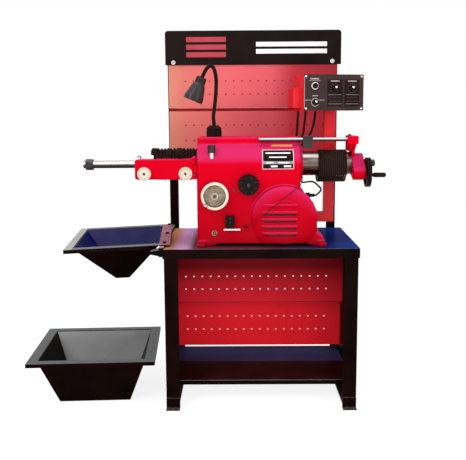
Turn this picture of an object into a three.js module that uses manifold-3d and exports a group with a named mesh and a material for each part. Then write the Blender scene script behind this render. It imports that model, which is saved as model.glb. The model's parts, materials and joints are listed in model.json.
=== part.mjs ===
// Brake lathe on its bench: headstock with a sliding quill, tool arm, chip hopper, chip bin, tool boards.
// Millimetres, X to the right, Y away from the operator, Z up. The bench stands on Z = 0.
import * as THREE from 'three';
import { ConvexGeometry } from 'three/addons/geometries/ConvexGeometry.js';
import { mergeVertices } from 'three/addons/utils/BufferGeometryUtils.js';
import Module from 'manifold-3d';

const wasm = await Module();
wasm.setup();

// Clearances and facets
const fit = 0.3; // gap between pieces that touch
const over = 2; // overrun of every cut
const quarterSteps = 4;
const coarseSides = 12;
const roundSides = 20;
const fineSides = 24;

// Bench
const benchWidth = 700;
const benchDepth = 514;
const benchHeight = 591;
const topSheet = 4;
const skirtHeight = 35;
const legFlange = 50;
const rearFlange = 35;
const legSheet = 4;
const sideSheet = 3;
const skidWidth = 45;
const skidSheet = 5;
const footReach = 25;
const footRise = 40;
const ledgeWidth = 13;
const ledgeHeight = 28;
const wingReach = 42;
const wingDrop = 8;
const wingDepth = 48;
const wingThick = 11;
const shelfTop = 80;
const shelfFront = 80;
const shelfBack = 500;
const shelfLip = 18;

// Perforated panels and tool boards
const panelSheet = 2;
const panelFold = 12;
const holeRadius = 4;
const holeSides = 5;
const holeColumns = 18;
const holePitch = 33.2;
const holeCentre = -10;
const upperPanelFace = 344;
const upperPanelLowRise = -278;
const upperPanelHighRise = -36;
const upperPanelRowRise = -224;
const upperPanelRowGap = 52;
const lowerPanelFace = 405;
const lowerPanelLow = 115;
const lowerPanelHigh = 300;
const lowerPanelRow = 182.5;
const lowerPanelRowGap = 55.5;
const postWidth = 35;
const postDepth = 25;
const postSheet = 3;
const postReach = 15;
const postInset = 59;
const boardReach = 11;
const boardInset = 23;
const boardFold = 9;
const boardHoleCentre = -11.5;
const lowBoardRise = 297;
const lowBoardHighRise = 486.5;
const lowBoardRowRise = 368;
const lowBoardRowGap = 61.5;
const boardSeam = 12.5;
const highBoardRise = 672;
const highBoardRowRise = 555;
const highBoardRowGap = 53;
const signReach = 23;
const signInset = 9;
const signHeight = 136;
const signDepth = 14;
const signCorner = 12;

// Chip hopper, laid on the ledge along the left edge of the bench
const hopperWidth = 380;
const hopperShort = 41;
const hopperReach = 181;
const hopperShift = 5;
const hopperRise = 8;
const hopperTurn = 3.8;
const hopperTilt = 2.2;
const hopperRoll = 1;
const hopperFlange = 36;
const hopperOuterFlange = 29;
const hopperInnerFlange = 38;
const hopperFall = 144;
const hopperBareLip = 72;
const outletWidth = 51;
const outletShiftX = 1;
const outletShiftY = -72;

// Chip bin, free on the floor
const binRimWidth = 463;
const binHeight = 180;
const binReach = 279;
const binY = 215;
const binTurn = 3.1;
const binFlange = 37;
const binBase = 262;
const binHoleRadius = 4;
const binHoleGap = 115;
const traySheet = 3;
const trayLip = 14;

// Headstock casting
const castLeft = -227;
const castFront = 50;
const castBack = 350;
const castWall = 12;
const castHeight = 390;
const spineRight = 142;
const spineFront = 105;
const spineBack = 300;
const spineStep = 27;
const shoulderRise = 60;
const flankWidth = 93;
const flankHeight = 215;
const rearBevel = 50;
const archHeight = 10;
const archInset = 35;
const archSlope = 40;
const lugWidth = 30;
const lugReach = 20;
const lugHeight = 15;
const flankShares = [
  [0, 1], [0.21, 0.86], [0.38, 0.79], [0.52, 0.68], [0.6, 0.57], [0.655, 0.46],
  [0.655, 0.25], [0.72, 0.21], [0.87, 0.175], [0.98, 0.05], [1, 0],
];
const shoulderShares = [[0, 0], [0.08, 0.25], [0.3, 0.55], [0.62, 0.8], [1, 1]];

// Spindle: axis along X
const axisY = 200;
const axisRise = 289;
const quillRadius = 45;
const quillBore = 38;
const quillLeft = -382;
const quillRight = 326;
const quillEndRadius = 42;
const quillEndLength = 13;
const drawbarRadius = 10;
const shaftRadius = 20;
const arborRadius = 14;
const arborTip = -657;
const collarRadius = 32;
const collarFace = -455;
const collarWidth = 12;
const bearingWidth = 22;
const bearingInset = 10;
const nutAcross = 36;
const nutWidth = 22;
const nutInset = 8;
const nutFlangeRadius = 20.5;
const nutFlangeWidth = 6;
const bossRadius = 62;
const bossWidth = 30;
const ringRadius = 68;
const ringWidth = 16;
const bellowsRadius = 62;
const bellowsRoot = 54;
const bellowsPleats = 12;
const bellowsGap = 0.6;
const coilCord = 6.5;
const coilLeft = 213;
const coilRight = 322;
const coilHang = 9;

// Gear train below the spindle
const gearModule = 4;
const pinionTeeth = 16;
const spurTeeth = 38;
const spurWidth = 20;
const spurX = -70;
const spurOffset = 45;
const quillTravel = 95;
const windowMargin = 4;
const windowHalf = 34;
const gearAddendum = 3.4;
const gearDedendum = 5;
const layRadius = 12;
const layBossRadius = 22;
const layBossWidth = 20;
const wheelTeeth = 30;
const wheelPitchRadius = 58;
const wheelWidth = 12;
const wheelX = 79;
const wormTooth = 3;
const wormClearance = 1.3;
const wormLength = 44;
const wormShaftRadius = 8;
const wormTurns = 2;
const wormSteps = 12;
const wormToothShare = 0.32;
const spurToothShare = 0.42;
const tipShare = 0.55;
const motorX = 85;
const motorRise = 99;
const motorRadius = 84;
const motorFlangeRadius = 96;
const motorFlangeWidth = 8;
const motorFront = 46;
const motorBack = 160;
const motorShaftDepth = 40;
const footBearingRadius = 18;
const footBearingWidth = 20;
const coverRadius = 119;
const coverBulge = 12;
const coverRound = 54;
const coverSheet = 4;
const coverFoot = 14;
const louvreCount = 4;
const louvreLeft = -76;
const louvreRight = 42;
const louvreLow = -62;
const louvrePitch = 25.3;
const louvreHeight = 7;

// Feed end: bracket, stop rod, handwheel
const bracketRise = 392;
const bracketBlockRise = 364;
const bracketNeckRise = 335;
const bracketFront = 80;
const bracketNose = 118;
const bracketBack = 235;
const bracketNeckY = 165;
const bracketNoseX = 312;
const bracketPlateX = 325;
const bracketPlateEnd = 351;
const housingRadius = 37;
const housingEnd = 384;
const wheelBossRadius = 28;
const feedWheelY = 137;
const feedWheelRise = 259;
const feedWheelRadius = 54;
const feedRim = 9;
const feedWheelStart = 386;
const feedWheelWidth = 16;
const feedWeb = 5;
const feedHub = 13;
const feedHubProud = 2;
const feedShaft = 8;
const feedShaftDepth = 36;
const dialRadius = 15.3;
const dialWidth = 20;
const drawbarNutWidth = 26;
const drawbarNutRadius = 13;
const crankRadius = 8.5;
const crankLength = 48;
const crankPin = 4;
const crankReach = 43;
const crankDrop = 7;
const rodRadius = 7;
const rodLeft = -5;
const rodY = 97;
const rodRise = 380;
const clampLeft = 152;
const clampWidth = 36;
const clampLowRise = 350;
const clampHighRise = 393;
const clampFront = 82;
const clampBack = 114;

// Tool arm on its cross slide
const armLeft = -446;
const armLowRise = 243;
const armHighRise = 315;
const armTaper = 6;
const armFront = 45;
const armDepth = 50;
const armGap = 3.3;
const carriageWidth = 40;
const carriageBack = 112;
const carriageRise = 9;
const wayBack = 134;
const wayRoot = 24;
const wayCrown = 40;
const wayDepth = 13;
const wayInset = 2;
const toolDialRadius = 24;
const toolDialWidth = 11;
const toolDialStem = 6;
const toolDialDepth = 12;
const leftDialX = -412;
const rightDialX = -266;
const toolDialRise = 264;
const toolBarSize = 14;
const toolBarEnd = 136;
const leftKnobX = -376;
const rightKnobX = -288;
const knobRadius = 14;
const knobHeight = 25;
const knobLow = 14;
const knobStem = 5;
const knobDepth = 18;
const domeShare = 0.6;

// Controls on the front of the casting
const crossX = -163;
const crossRise = 185;
const crossRadius = 49;
const crossRimRadius = 40;
const crossHub = 12;
const crossFace = 20;
const crossBack = 46;
const crossWeb = 6;
const crossShaft = 8;
const crossHandleRadius = 7;
const crossHandleLength = 32;
const crossHandlePin = 3;
const crossHandleReach = 43;
const crossHandleAngle = 225;
const selectorX = -43;
const selectorRise = 223;
const selectorRadius = 36;
const selectorDip = 3;
const selectorLobes = 8;
const selectorFace = 20;
const selectorBase = 5;
const selectorRing = 2;
const switchX = -126;
const switchWidth = 33;
const switchRise = 72;
const switchHeight = 41;
const switchDepth = 20;
const leverRise = 64;
const leverLength = 59;
const leverThick = 6;
const leverFront = 34;
const leverPin = 2.5;
const lockX = -173.5;
const lockY = 58;
const lockRise = 315;
const lockNeckHeight = 21;
const lockNeckRadius = 8;
const lockHeadRadius = 13.5;
const lockHeadHeight = 28;
const lockRelief = 2;

// Control box on its arm
const boxX = 279.5;
const boxY = 240;
const boxRise = 550;
const boxTurn = 14;
const boxWidth = 236;
const boxHeight = 133;
const boxDepth = 105;
const boxSheet = 3;
const panelPlate = 3;
const sideBoxWidth = 31;
const sideBoxHeight = 75;
const sideBoxLow = -56;
const sideBoxFront = 30;
const sideBoxDepth = 60;
const ductSize = 39;
const ductWall = 3;
const ductX = 251;
const ductY = 281;
const ductFootRise = 57;
const ductFootHighRise = 95;
const buttonX = -76.8;
const buttonZ = 24;
const buttonRadius = 10.5;
const buttonOut = 9;
const modeX = -74.7;
const modeZ = -36;
const dialKnobX = 3.6;
const dialKnobGap = 68;
const dialKnobZ = 15;
const panelKnobRadius = 11;
const panelKnobLength = 15;
const panelStem = 3;
const panelStemDepth = 14;
const bezelRadius = 15;
const bezelWidth = 4;

// Lamp
const lampX = -168;
const lampY = 190;
const lampBaseRadius = 29;
const lampBaseHeight = 41.3;
const neckRadius = 7.3;
const neckStep = 18;
const lampTilt = 23;
const lampPivotX = -213.3;
const lampPivotRise = 599.2;
const lampBall = 12;
const lampHole = 11;
const lampTopRadius = 18;
const lampRimRadius = 36.5;
const lampLength = 92;
const lampWall = 3;

// Cords: hand-chosen points of their routes
const cordRadius = 3.25;
const cordStep = 16;
const cableRadius = 4.5;
const cableStep = 24;
const clipHeight = 8;
const tripRadius = 1;
const tripStep = 12;
const connectorRadius = 4;
const connectorLength = 16;
const glandY = 130;
const glandRise = 176;
const glandSeat = 166;
const glandLength = 34;
const glandRadius = 10;
const plugRadius = 16;
const plugLength = 52;
const plugPins = 18;
const plugPinRadius = 2.4;
const plugPinGap = 9.5;
const plugX = 278;
const plugY = 346;
const plugRise = 169;

// Measures that follow from the sizes above
const benchHalf = benchWidth / 2;
const axisZ = benchHeight + axisRise;
const motorZ = benchHeight + motorRise;
const bracketTop = benchHeight + bracketRise;
const bracketBlockLow = benchHeight + bracketBlockRise;
const bracketNeckLow = benchHeight + bracketNeckRise;
const feedWheelZ = benchHeight + feedWheelRise;
const rodZ = benchHeight + rodRise;
const clampLow = benchHeight + clampLowRise;
const clampHigh = benchHeight + clampHighRise;
const armLow = benchHeight + armLowRise;
const armHigh = benchHeight + armHighRise;
const toolDialZ = benchHeight + toolDialRise;
const crossZ = benchHeight + crossRise;
const selectorZ = benchHeight + selectorRise;
const switchLow = benchHeight + switchRise;
const leverZ = benchHeight + leverRise;
const lockSeat = benchHeight + lockRise;
const boxZ = benchHeight + boxRise;
const ductFootLow = benchHeight + ductFootRise;
const ductFootHigh = benchHeight + ductFootHighRise;
const lampPivotZ = benchHeight + lampPivotRise;
const glandZ = benchHeight + glandRise;
const plugTop = benchHeight + plugRise;
const lowBoardLow = benchHeight + lowBoardRise;
const lowBoardHigh = benchHeight + lowBoardHighRise;
const lowBoardRow = benchHeight + lowBoardRowRise;
const highBoardHigh = benchHeight + highBoardRise;
const highBoardRow = benchHeight + highBoardRowRise;
const upperPanelLow = benchHeight + upperPanelLowRise;
const upperPanelHigh = benchHeight + upperPanelHighRise;
const upperPanelRow = benchHeight + upperPanelRowRise;
const leftPostX = -benchHalf - postReach;
const rightPostX = benchHalf - postInset;
const boardLeft = -benchHalf - boardReach;
const boardRight = benchHalf - boardInset;
const signLeft = -benchHalf - signReach;
const signRight = benchHalf - signInset;
const binX = -benchHalf - binReach;
const hopperX = -benchHalf - hopperReach;
const hopperDepth = benchDepth - hopperShort;
const hopperY = benchDepth / 2 + hopperShift;
const hopperRim = benchHeight + hopperRise;
const legX = benchHalf - topSheet - fit;
const legTop = benchHeight - topSheet - fit;
const legFront = topSheet + fit;
const legBack = benchDepth - topSheet - fit;
const panelX = legX - legSheet - sideSheet - fit;
const postFront = benchDepth + fit;
const castBase = benchHeight + fit;
const castTop = castBase + castHeight;
const spineTopFront = castTop - spineStep;
const castRight = spineRight + flankWidth;
const gearCentre = gearModule * (pinionTeeth + spurTeeth) / 2;
const layY = axisY + spurOffset;
const layZ = axisZ - Math.sqrt(gearCentre ** 2 - spurOffset ** 2);
const wormPitchRadius = layZ - motorZ - wheelPitchRadius;
const wormLead = 2 * Math.PI * wheelPitchRadius / wheelTeeth;
const signLow = highBoardHigh + fit;
const windowLeft = spurX - quillTravel - windowMargin;
const windowRight = spurX + spurWidth + windowMargin;
const wayX = castLeft - fit - wayDepth;
const armRight = castLeft - armGap;

const degrees = THREE.MathUtils.degToRad;

// Local X, Y and Z of an extruded outline, turned so that it runs along the named axis
const bases = {
  x: [[0, 1, 0], [0, 0, 1], [1, 0, 0]],
  y: [[0, 0, 1], [1, 0, 0], [0, 1, 0]],
  z: [[1, 0, 0], [0, 1, 0], [0, 0, 1]],
};

function turnTo(geometry, axis) {
  const [x, y, z] = bases[axis].map((v) => new THREE.Vector3(...v));
  return geometry.applyMatrix4(new THREE.Matrix4().makeBasis(x, y, z));
}

// A closed three.js geometry as a solid that can be joined and cut
function solid(geometry) {
  const bare = geometry.index ? geometry.toNonIndexed() : geometry.clone();
  bare.deleteAttribute('normal');
  bare.deleteAttribute('uv');
  const merged = mergeVertices(bare);
  return new wasm.Manifold(new wasm.Mesh({
    numProp: 3,
    vertProperties: new Float32Array(merged.attributes.position.array),
    triVerts: new Uint32Array(merged.index.array),
  }));
}

function geometryOf(body) {
  const mesh = body.getMesh();
  const geometry = new THREE.BufferGeometry();
  geometry.setAttribute('position', new THREE.BufferAttribute(new Float32Array(mesh.vertProperties), 3));
  geometry.setIndex(new THREE.BufferAttribute(new Uint32Array(mesh.triVerts), 1));
  geometry.computeVertexNormals();
  return geometry;
}

const join = (first, ...others) => others.reduce((sum, body) => sum.add(body), first);
const cut = (first, ...others) => others.reduce((rest, body) => rest.subtract(body), first);

function block(x0, x1, y0, y1, z0, z1) {
  const size = [Math.abs(x1 - x0), Math.abs(y1 - y0), Math.abs(z1 - z0)];
  return solid(new THREE.BoxGeometry(...size).translate((x0 + x1) / 2, (y0 + y1) / 2, (z0 + z1) / 2));
}

// Outline points are [y, z] along X, [x, z] along Y and [x, y] along Z
function prism(points, from, to, axis, holes = []) {
  const ordered = (list) => list.map(([u, v]) => (axis === 'y' ? new THREE.Vector2(v, u) : new THREE.Vector2(u, v)));
  const sweep = (outline, start, end) => {
    const shape = new THREE.Shape(ordered(outline));
    const geometry = new THREE.ExtrudeGeometry(shape, { depth: end - start, bevelEnabled: false });
    return solid(turnTo(geometry.translate(0, 0, start), axis));
  };
  const tools = holes.map((hole) => sweep(hole, from - over, to + over));
  return tools.length ? sweep(points, from, to).subtract(wasm.Manifold.union(tools)) : sweep(points, from, to);
}

function circle(radius, u = 0, v = 0, sides = roundSides) {
  const turn = 2 * Math.PI / sides;
  return Array.from({ length: sides }, (_, i) => [
    u + radius * Math.cos((i + 0.5) * turn),
    v + radius * Math.sin((i + 0.5) * turn),
  ]);
}

const drum = (radius, from, to, axis, u, v, sides) => prism(circle(radius, u, v, sides), from, to, axis);

// A body turned about the named axis; the profile is a closed list of [radius, place on the axis]
function turned(profile, axis, sides = fineSides) {
  const points = [...profile, profile[0]].map(([radius, place]) => new THREE.Vector2(radius, place));
  const lathe = new THREE.LatheGeometry(points, sides).rotateX(Math.PI / 2);
  let body = solid(turnTo(lathe, axis));
  if (body.volume() < 0) {
    body = solid(turnTo(new THREE.LatheGeometry(points.reverse(), sides).rotateX(Math.PI / 2), axis));
  }
  return body;
}

function tube(points, radius, step, sides = 8) {
  const path = new THREE.CatmullRomCurve3(points.map((p) => new THREE.Vector3(...p)), false, 'centripetal');
  const section = new THREE.Shape(circle(radius, 0, 0, sides).map(([u, v]) => new THREE.Vector2(u, v)));
  const steps = Math.ceil(path.getLength() / step);
  return solid(new THREE.ExtrudeGeometry(section, { steps, extrudePath: path, bevelEnabled: false }));
}

// A four-sided funnel solid between two rectangles, each [centre x, centre y, width, depth, z]
function funnel(low, high) {
  const corners = [low, high].flatMap(([x, y, width, depth, z]) => [-1, 1].flatMap((i) => [-1, 1].map(
    (j) => new THREE.Vector3(x + i * width / 2, y + j * depth / 2, z))));
  return solid(new ConvexGeometry(corners));
}

// Points of a quarter of a unit circle that starts after the given number of quarter turns
const quarter = (turns) => Array.from({ length: quarterSteps + 1 }, (_, i) => {
  const angle = (turns + i / quarterSteps) * Math.PI / 2;
  return [Math.cos(angle), Math.sin(angle)];
});

const rectangle = (u0, u1, v0, v1) => [[u0, v0], [u1, v0], [u1, v1], [u0, v1]];

// Gear outline round its own centre: one flat tooth per turn share, rotated by turn
function gearOutline(teeth, pitchRadius, addendum, dedendum, toothShare, turn = 0) {
  const angles = [-toothShare, -toothShare * tipShare, toothShare * tipShare, toothShare];
  const outer = pitchRadius + addendum;
  const inner = pitchRadius - dedendum;
  return Array.from({ length: teeth }).flatMap((_, i) => angles.map((share, k) => {
    const angle = turn + (i + share) * 2 * Math.PI / teeth;
    const radius = k === 1 || k === 2 ? outer : inner;
    return [radius * Math.cos(angle), radius * Math.sin(angle)];
  }));
}

const materials = {
  crimson: { color: 0xc4102a, roughness: 0.35, metalness: 0 },
  red: { color: 0xb81420, roughness: 0.5, metalness: 0 },
  black: { color: 0x0d0d10, roughness: 0.3, metalness: 0 },
  rubber: { color: 0x141414, roughness: 0.8, metalness: 0 },
  plastic: { color: 0x18181a, roughness: 0.45, metalness: 0 },
  steel: { color: 0xb9bcc0, roughness: 0.3, metalness: 1 },
  cream: { color: 0xd9cfc0, roughness: 0.4, metalness: 0.3 },
  iron: { color: 0x55585c, roughness: 0.6, metalness: 0.6 },
};

function addPiece(parent, name, body, look, place = [0, 0, 0]) {
  const mesh = new THREE.Mesh(geometryOf(body), new THREE.MeshStandardMaterial(materials[look]));
  mesh.name = name;
  mesh.position.set(...place);
  parent.add(mesh);
}

function addGroup(parent, place, turnZ = 0) {
  const group = new THREE.Group();
  group.position.set(...place);
  group.rotation.z = turnZ;
  parent.add(group);
  return group;
}

// Everything above the underside of the hopper's flange, grown by the gap to its seat
function hopperRoom() {
  const half = hopperWidth / 2 + over;
  const room = new THREE.BoxGeometry(2 * half, hopperDepth + 2 * benchDepth, hopperWidth)
    .translate(0, 0, hopperWidth / 2 - traySheet - fit);
  const turn = new THREE.Euler(degrees(hopperRoll), -degrees(hopperTilt), degrees(hopperTurn), 'ZYX');
  const place = new THREE.Matrix4().makeRotationFromEuler(turn).setPosition(hopperX, hopperY, hopperRim);
  return solid(room.applyMatrix4(place));
}

// Bench top: a sheet with a skirt all round, and on the left the hopper's ledge and a wing at the front
function benchTop() {
  const inner = benchHalf - topSheet;
  const low = benchHeight - skirtHeight;
  const skirt = cut(
    block(-benchHalf, benchHalf, 0, benchDepth, low, benchHeight),
    block(-inner, inner, topSheet, benchDepth - topSheet, low - over, benchHeight - topSheet),
  );
  const ledge = block(
    -benchHalf - ledgeWidth, -inner, 0, benchDepth, benchHeight - ledgeHeight, hopperRim + hopperWidth / 2);
  const wing = prism([
    [-benchHalf - wingReach, benchHeight - wingDrop], [-benchHalf - wingReach, benchHeight - wingDrop - wingThick],
    [-inner, benchHeight - ledgeHeight], [-inner, benchHeight],
  ], 0, wingDepth, 'y');
  return join(skirt, cut(ledge, hopperRoom()), wing);
}

// One side of the bench: two angle legs, their panel, the skid and the front foot bracket
function sideFrame(side) {
  const outer = side * legX;
  const across = (width) => side * (legX - width);
  return join(
    block(outer, across(legFlange), legFront, legFront + legSheet, 0, legTop),
    block(outer, across(legSheet), legFront, legFront + legFlange, 0, legTop),
    block(outer, across(rearFlange), legBack - legSheet, legBack, 0, legTop),
    block(outer, across(legSheet), legBack - rearFlange, legBack, 0, legTop),
    block(across(legSheet / 2), across(legSheet + sideSheet), legFront + legSheet / 2, legBack - legSheet / 2, 0, legTop),
    block(outer, across(skidWidth), legFront, legBack, 0, skidSheet),
    block(outer, across(legFlange), legFront - footReach, legFront, 0, legSheet),
    block(outer, across(legFlange), legFront - legSheet, legFront, 0, footRise),
  );
}

function bottomShelf() {
  const top = block(-panelX, panelX, shelfFront, shelfBack, shelfTop - panelSheet, shelfTop);
  const lips = [shelfFront, shelfBack - panelSheet].map(
    (y) => block(-panelX, panelX, y, y + panelSheet, shelfTop - shelfLip, shelfTop));
  return join(top, ...lips);
}

// A sheet with rows of round holes and its four edges folded back
function perforatedTray(x0, x1, face, fold, z0, z1, centre, row, rowGap) {
  const holes = [row, row + rowGap].flatMap((z) => Array.from({ length: holeColumns }, (_, i) => circle(
    holeRadius, centre + (i - (holeColumns - 1) / 2) * holePitch, z, holeSides)));
  const inner = rectangle(x0 + panelSheet, x1 - panelSheet, z0 + panelSheet, z1 - panelSheet);
  return join(
    prism(rectangle(x0, x1, z0, z1), face, face + panelSheet, 'y', holes),
    prism(rectangle(x0, x1, z0, z1), face, face + fold, 'y', [inner]),
  );
}

function post(x) {
  const y = postFront;
  const outline = [
    [x, y], [x + postWidth, y], [x + postWidth, y + postDepth], [x + postWidth - postSheet, y + postDepth],
    [x + postWidth - postSheet, y + postSheet], [x + postSheet, y + postSheet],
    [x + postSheet, y + postDepth], [x, y + postDepth],
  ];
  return prism(outline, benchHeight - skirtHeight, signLow + signHeight - signCorner, 'z');
}

// The lower board has a strip set back behind the seam below the upper board
function lowerToolBoard() {
  const face = benchDepth - boardFold;
  const tray = perforatedTray(
    boardLeft, boardRight, face, boardFold, lowBoardLow, lowBoardHigh, boardHoleCentre, lowBoardRow, lowBoardRowGap);
  const strip = block(
    boardLeft, boardRight, benchDepth - panelSheet, benchDepth, lowBoardHigh - panelSheet, lowBoardHigh + boardSeam - fit);
  return join(tray, strip);
}

function signBoard() {
  const high = signLow + signHeight;
  const corner = (u, v, turns) => quarter(turns).map(([x, y]) => [u + signCorner * x, v + signCorner * y]);
  const outline = [
    [signLeft, signLow], [signRight, signLow],
    ...corner(signRight - signCorner, high - signCorner, 0),
    ...corner(signLeft + signCorner, high - signCorner, 1),
  ];
  const face = benchDepth - signDepth;
  const hollow = rectangle(
    signLeft + signCorner, signRight - signCorner, signLow + panelSheet, high - signCorner);
  return cut(prism(outline, face, benchDepth, 'y'), prism(hollow, face + panelSheet, benchDepth + over, 'y'));
}

function addBench(bench) {
  const face = benchDepth - boardFold;
  addPiece(bench, 'bench_top', benchTop(), 'black');
  addPiece(bench, 'left_frame', sideFrame(-1), 'black');
  addPiece(bench, 'right_frame', sideFrame(1), 'black');
  addPiece(bench, 'bottom_shelf', bottomShelf(), 'black');
  addPiece(bench, 'upper_back_panel', perforatedTray(
    -panelX, panelX, upperPanelFace, panelFold, upperPanelLow, upperPanelHigh,
    holeCentre, upperPanelRow, upperPanelRowGap), 'red');
  addPiece(bench, 'lower_back_panel', perforatedTray(
    -panelX, panelX, lowerPanelFace, panelFold, lowerPanelLow, lowerPanelHigh,
    holeCentre, lowerPanelRow, lowerPanelRowGap), 'red');
  addPiece(bench, 'left_post', post(leftPostX), 'black');
  addPiece(bench, 'right_post', post(rightPostX), 'black');
  addPiece(bench, 'lower_tool_board', lowerToolBoard(), 'red');
  addPiece(bench, 'upper_tool_board', perforatedTray(
    boardLeft, boardRight, face, boardFold, lowBoardHigh + boardSeam, highBoardHigh,
    boardHoleCentre, highBoardRow, highBoardRowGap), 'red');
  addPiece(bench, 'sign_board', signBoard(), 'black');
}

// Sheet tray round its own rim centre, rim top at zero: flange, lips on the named sides, tapering walls
function sheetTray({ width, depth, left, right, front, back, fall, low, lowX, lowY, open, lips, bareLip }) {
  const x0 = -width / 2;
  const y0 = -depth / 2;
  const mouth = [x0 + left, x0 + width - right, y0 + front, y0 + depth - back];
  const mouthX = (mouth[0] + mouth[1]) / 2;
  const mouthY = (mouth[2] + mouth[3]) / 2;
  const mouthWidth = mouth[1] - mouth[0];
  const mouthDepth = mouth[3] - mouth[2];
  const flange = prism(rectangle(x0, -x0, y0, -y0), -traySheet, 0, 'z', [rectangle(...mouth)]);
  const outer = funnel(
    [lowX, lowY, low, low, -fall],
    [mouthX, mouthY, mouthWidth + 2 * traySheet, mouthDepth + 2 * traySheet, -traySheet / 2]);
  const floor = open ? -fall : -fall + traySheet;
  const inner = funnel([lowX, lowY, low - 2 * traySheet, low - 2 * traySheet, floor], [mouthX, mouthY, mouthWidth, mouthDepth, 0]);
  const mouthCut = block(mouth[0], mouth[1], mouth[2], mouth[3], -traySheet, over);
  const throat = open ? [block(
    lowX - low / 2 + traySheet, lowX + low / 2 - traySheet,
    lowY - low / 2 + traySheet, lowY + low / 2 - traySheet, -fall - over, -fall + traySheet)] : [];
  const lipBlocks = {
    left: [x0, x0 + traySheet, y0, -y0],
    right: [-x0 - traySheet, -x0, y0, -y0],
    front: [x0, -x0 - bareLip, y0, y0 + traySheet],
    back: [x0, -x0 - bareLip, -y0 - traySheet, -y0],
  };
  const rim = lips.map((side) => block(...lipBlocks[side], -trayLip, 0));
  return join(cut(join(flange, outer), inner, mouthCut, ...throat), ...rim);
}

function chipHopper() {
  return sheetTray({
    width: hopperWidth, depth: hopperDepth, left: hopperOuterFlange, right: hopperInnerFlange,
    front: hopperFlange, back: hopperFlange, fall: hopperFall, low: outletWidth,
    lowX: outletShiftX, lowY: outletShiftY, open: true, lips: ['left', 'front', 'back'], bareLip: hopperBareLip,
  });
}

function chipBin() {
  const body = sheetTray({
    width: binRimWidth, depth: binRimWidth, left: binFlange, right: binFlange, front: binFlange, back: binFlange,
    fall: binHeight, low: binBase, lowX: 0, lowY: 0, open: false, lips: ['left', 'right', 'front', 'back'], bareLip: 0,
  });
  const holeX = binRimWidth / 2 - binFlange / 2;
  const holes = [-1, 0, 1].map((i) => drum(
    binHoleRadius, -traySheet - over, over, 'z', holeX, i * binHoleGap, coarseSides));
  return cut(body, ...holes);
}

function addTrays(bench) {
  const hopper = addGroup(bench, [hopperX, hopperY, hopperRim], degrees(hopperTurn));
  hopper.rotation.order = 'ZYX';
  hopper.rotation.y = -degrees(hopperTilt);
  hopper.rotation.x = degrees(hopperRoll);
  addPiece(hopper, 'chip_hopper', chipHopper(), 'black');
  const bin = addGroup(bench, [binX, binY, binHeight], degrees(binTurn));
  addPiece(bin, 'chip_bin', chipBin(), 'black');
}

// Front view outline of the casting, drawn in by inset on every side but the base
function castFrontOutline(inset) {
  const flank = flankShares.map(([x, z]) => [
    spineRight + x * flankWidth - inset,
    castBase + z * flankHeight,
  ]);
  const base = castBase - (inset ? over : 0);
  const [last] = flank.slice(-1);
  return [
    [castLeft + inset, base], [castLeft + inset, castTop - inset], [spineRight - inset, castTop - inset],
    ...flank.slice(0, -1), [last[0], base],
  ];
}

// Section of the casting across the spindle, drawn in by inset on every side but the base
function castSideOutline(inset) {
  const depth = spineFront - castFront;
  const shoulder = shoulderShares.map(([y, z]) => [
    castFront + y * depth + inset,
    spineTopFront - shoulderRise + z * shoulderRise - inset,
  ]);
  const base = castBase - (inset ? over : 0);
  return [
    [castFront + inset, base], ...shoulder, [spineFront + inset, castTop - inset],
    [spineBack - inset, castTop - inset], [castBack - inset, castTop - rearBevel - inset], [castBack - inset, base],
  ];
}

function castHull(inset) {
  return prism(castFrontOutline(inset), castFront - over, castBack + over, 'y')
    .intersect(prism(castSideOutline(inset), castLeft - over, castRight + over, 'x'));
}

function headstockCasting() {
  const hull = castHull(0);
  const innerLeft = castLeft + castWall;
  const innerRight = spineRight - castWall;
  const bosses = join(
    drum(bossRadius, castLeft + over, innerLeft + bossWidth, 'x', axisY, axisZ),
    drum(bossRadius, innerRight - over, spineRight, 'x', axisY, axisZ),
    drum(layBossRadius, castLeft + over, innerLeft + layBossWidth, 'x', layY, layZ),
    drum(layBossRadius, innerRight - layBossWidth / 2, castRight, 'x', layY, layZ),
    drum(footBearingRadius, castBack - castWall - footBearingWidth, castBack - over, 'y', motorX, motorZ),
  ).intersect(hull);
  const lugs = [castLeft, castRight - lugWidth].map((x) => block(
    x, x + lugWidth, castFront - lugReach, castFront + castWall / 2, castBase, castBase + lugHeight));
  const arch = prism([
    [castLeft + archInset, castBase - over], [castLeft + archInset + archSlope, castBase + archHeight],
    [castRight - archInset - archSlope, castBase + archHeight], [castRight - archInset, castBase - over],
  ], castFront - over, castBack + over, 'y');
  const ring = drum(ringRadius, innerRight, spineRight + ringWidth, 'x', axisY, axisZ, fineSides);
  const shell = join(cut(hull, castHull(castWall)), bosses, ring, ...lugs);
  return cut(
    shell,
    arch,
    drum(quillRadius + fit, castLeft - over, spineRight + ringWidth + over, 'x', axisY, axisZ, fineSides),
    drum(layRadius + fit, castLeft + castWall / 2, innerRight + castWall, 'x', layY, layZ),
    drum(wormShaftRadius + fit, castBack - castWall - footBearingWidth - over, castBack - castWall / 2, 'y', motorX, motorZ),
    drum(motorRadius + fit, castFront - over, castFront + castWall + over, 'y', motorX, motorZ, fineSides),
    drum(crossShaft + fit, castFront - over, castFront + castWall + over, 'y', crossX, crossZ),
    drum(lockNeckRadius + fit, lockSeat, castTop + over, 'z', lockX, lockY),
    drum(lockHeadRadius + fit, lockSeat + lockNeckHeight - lockRelief, castTop + over, 'z', lockX, lockY),
    drum(glandRadius + fit, glandSeat, castRight + over, 'x', glandY, glandZ),
  );
}

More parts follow.
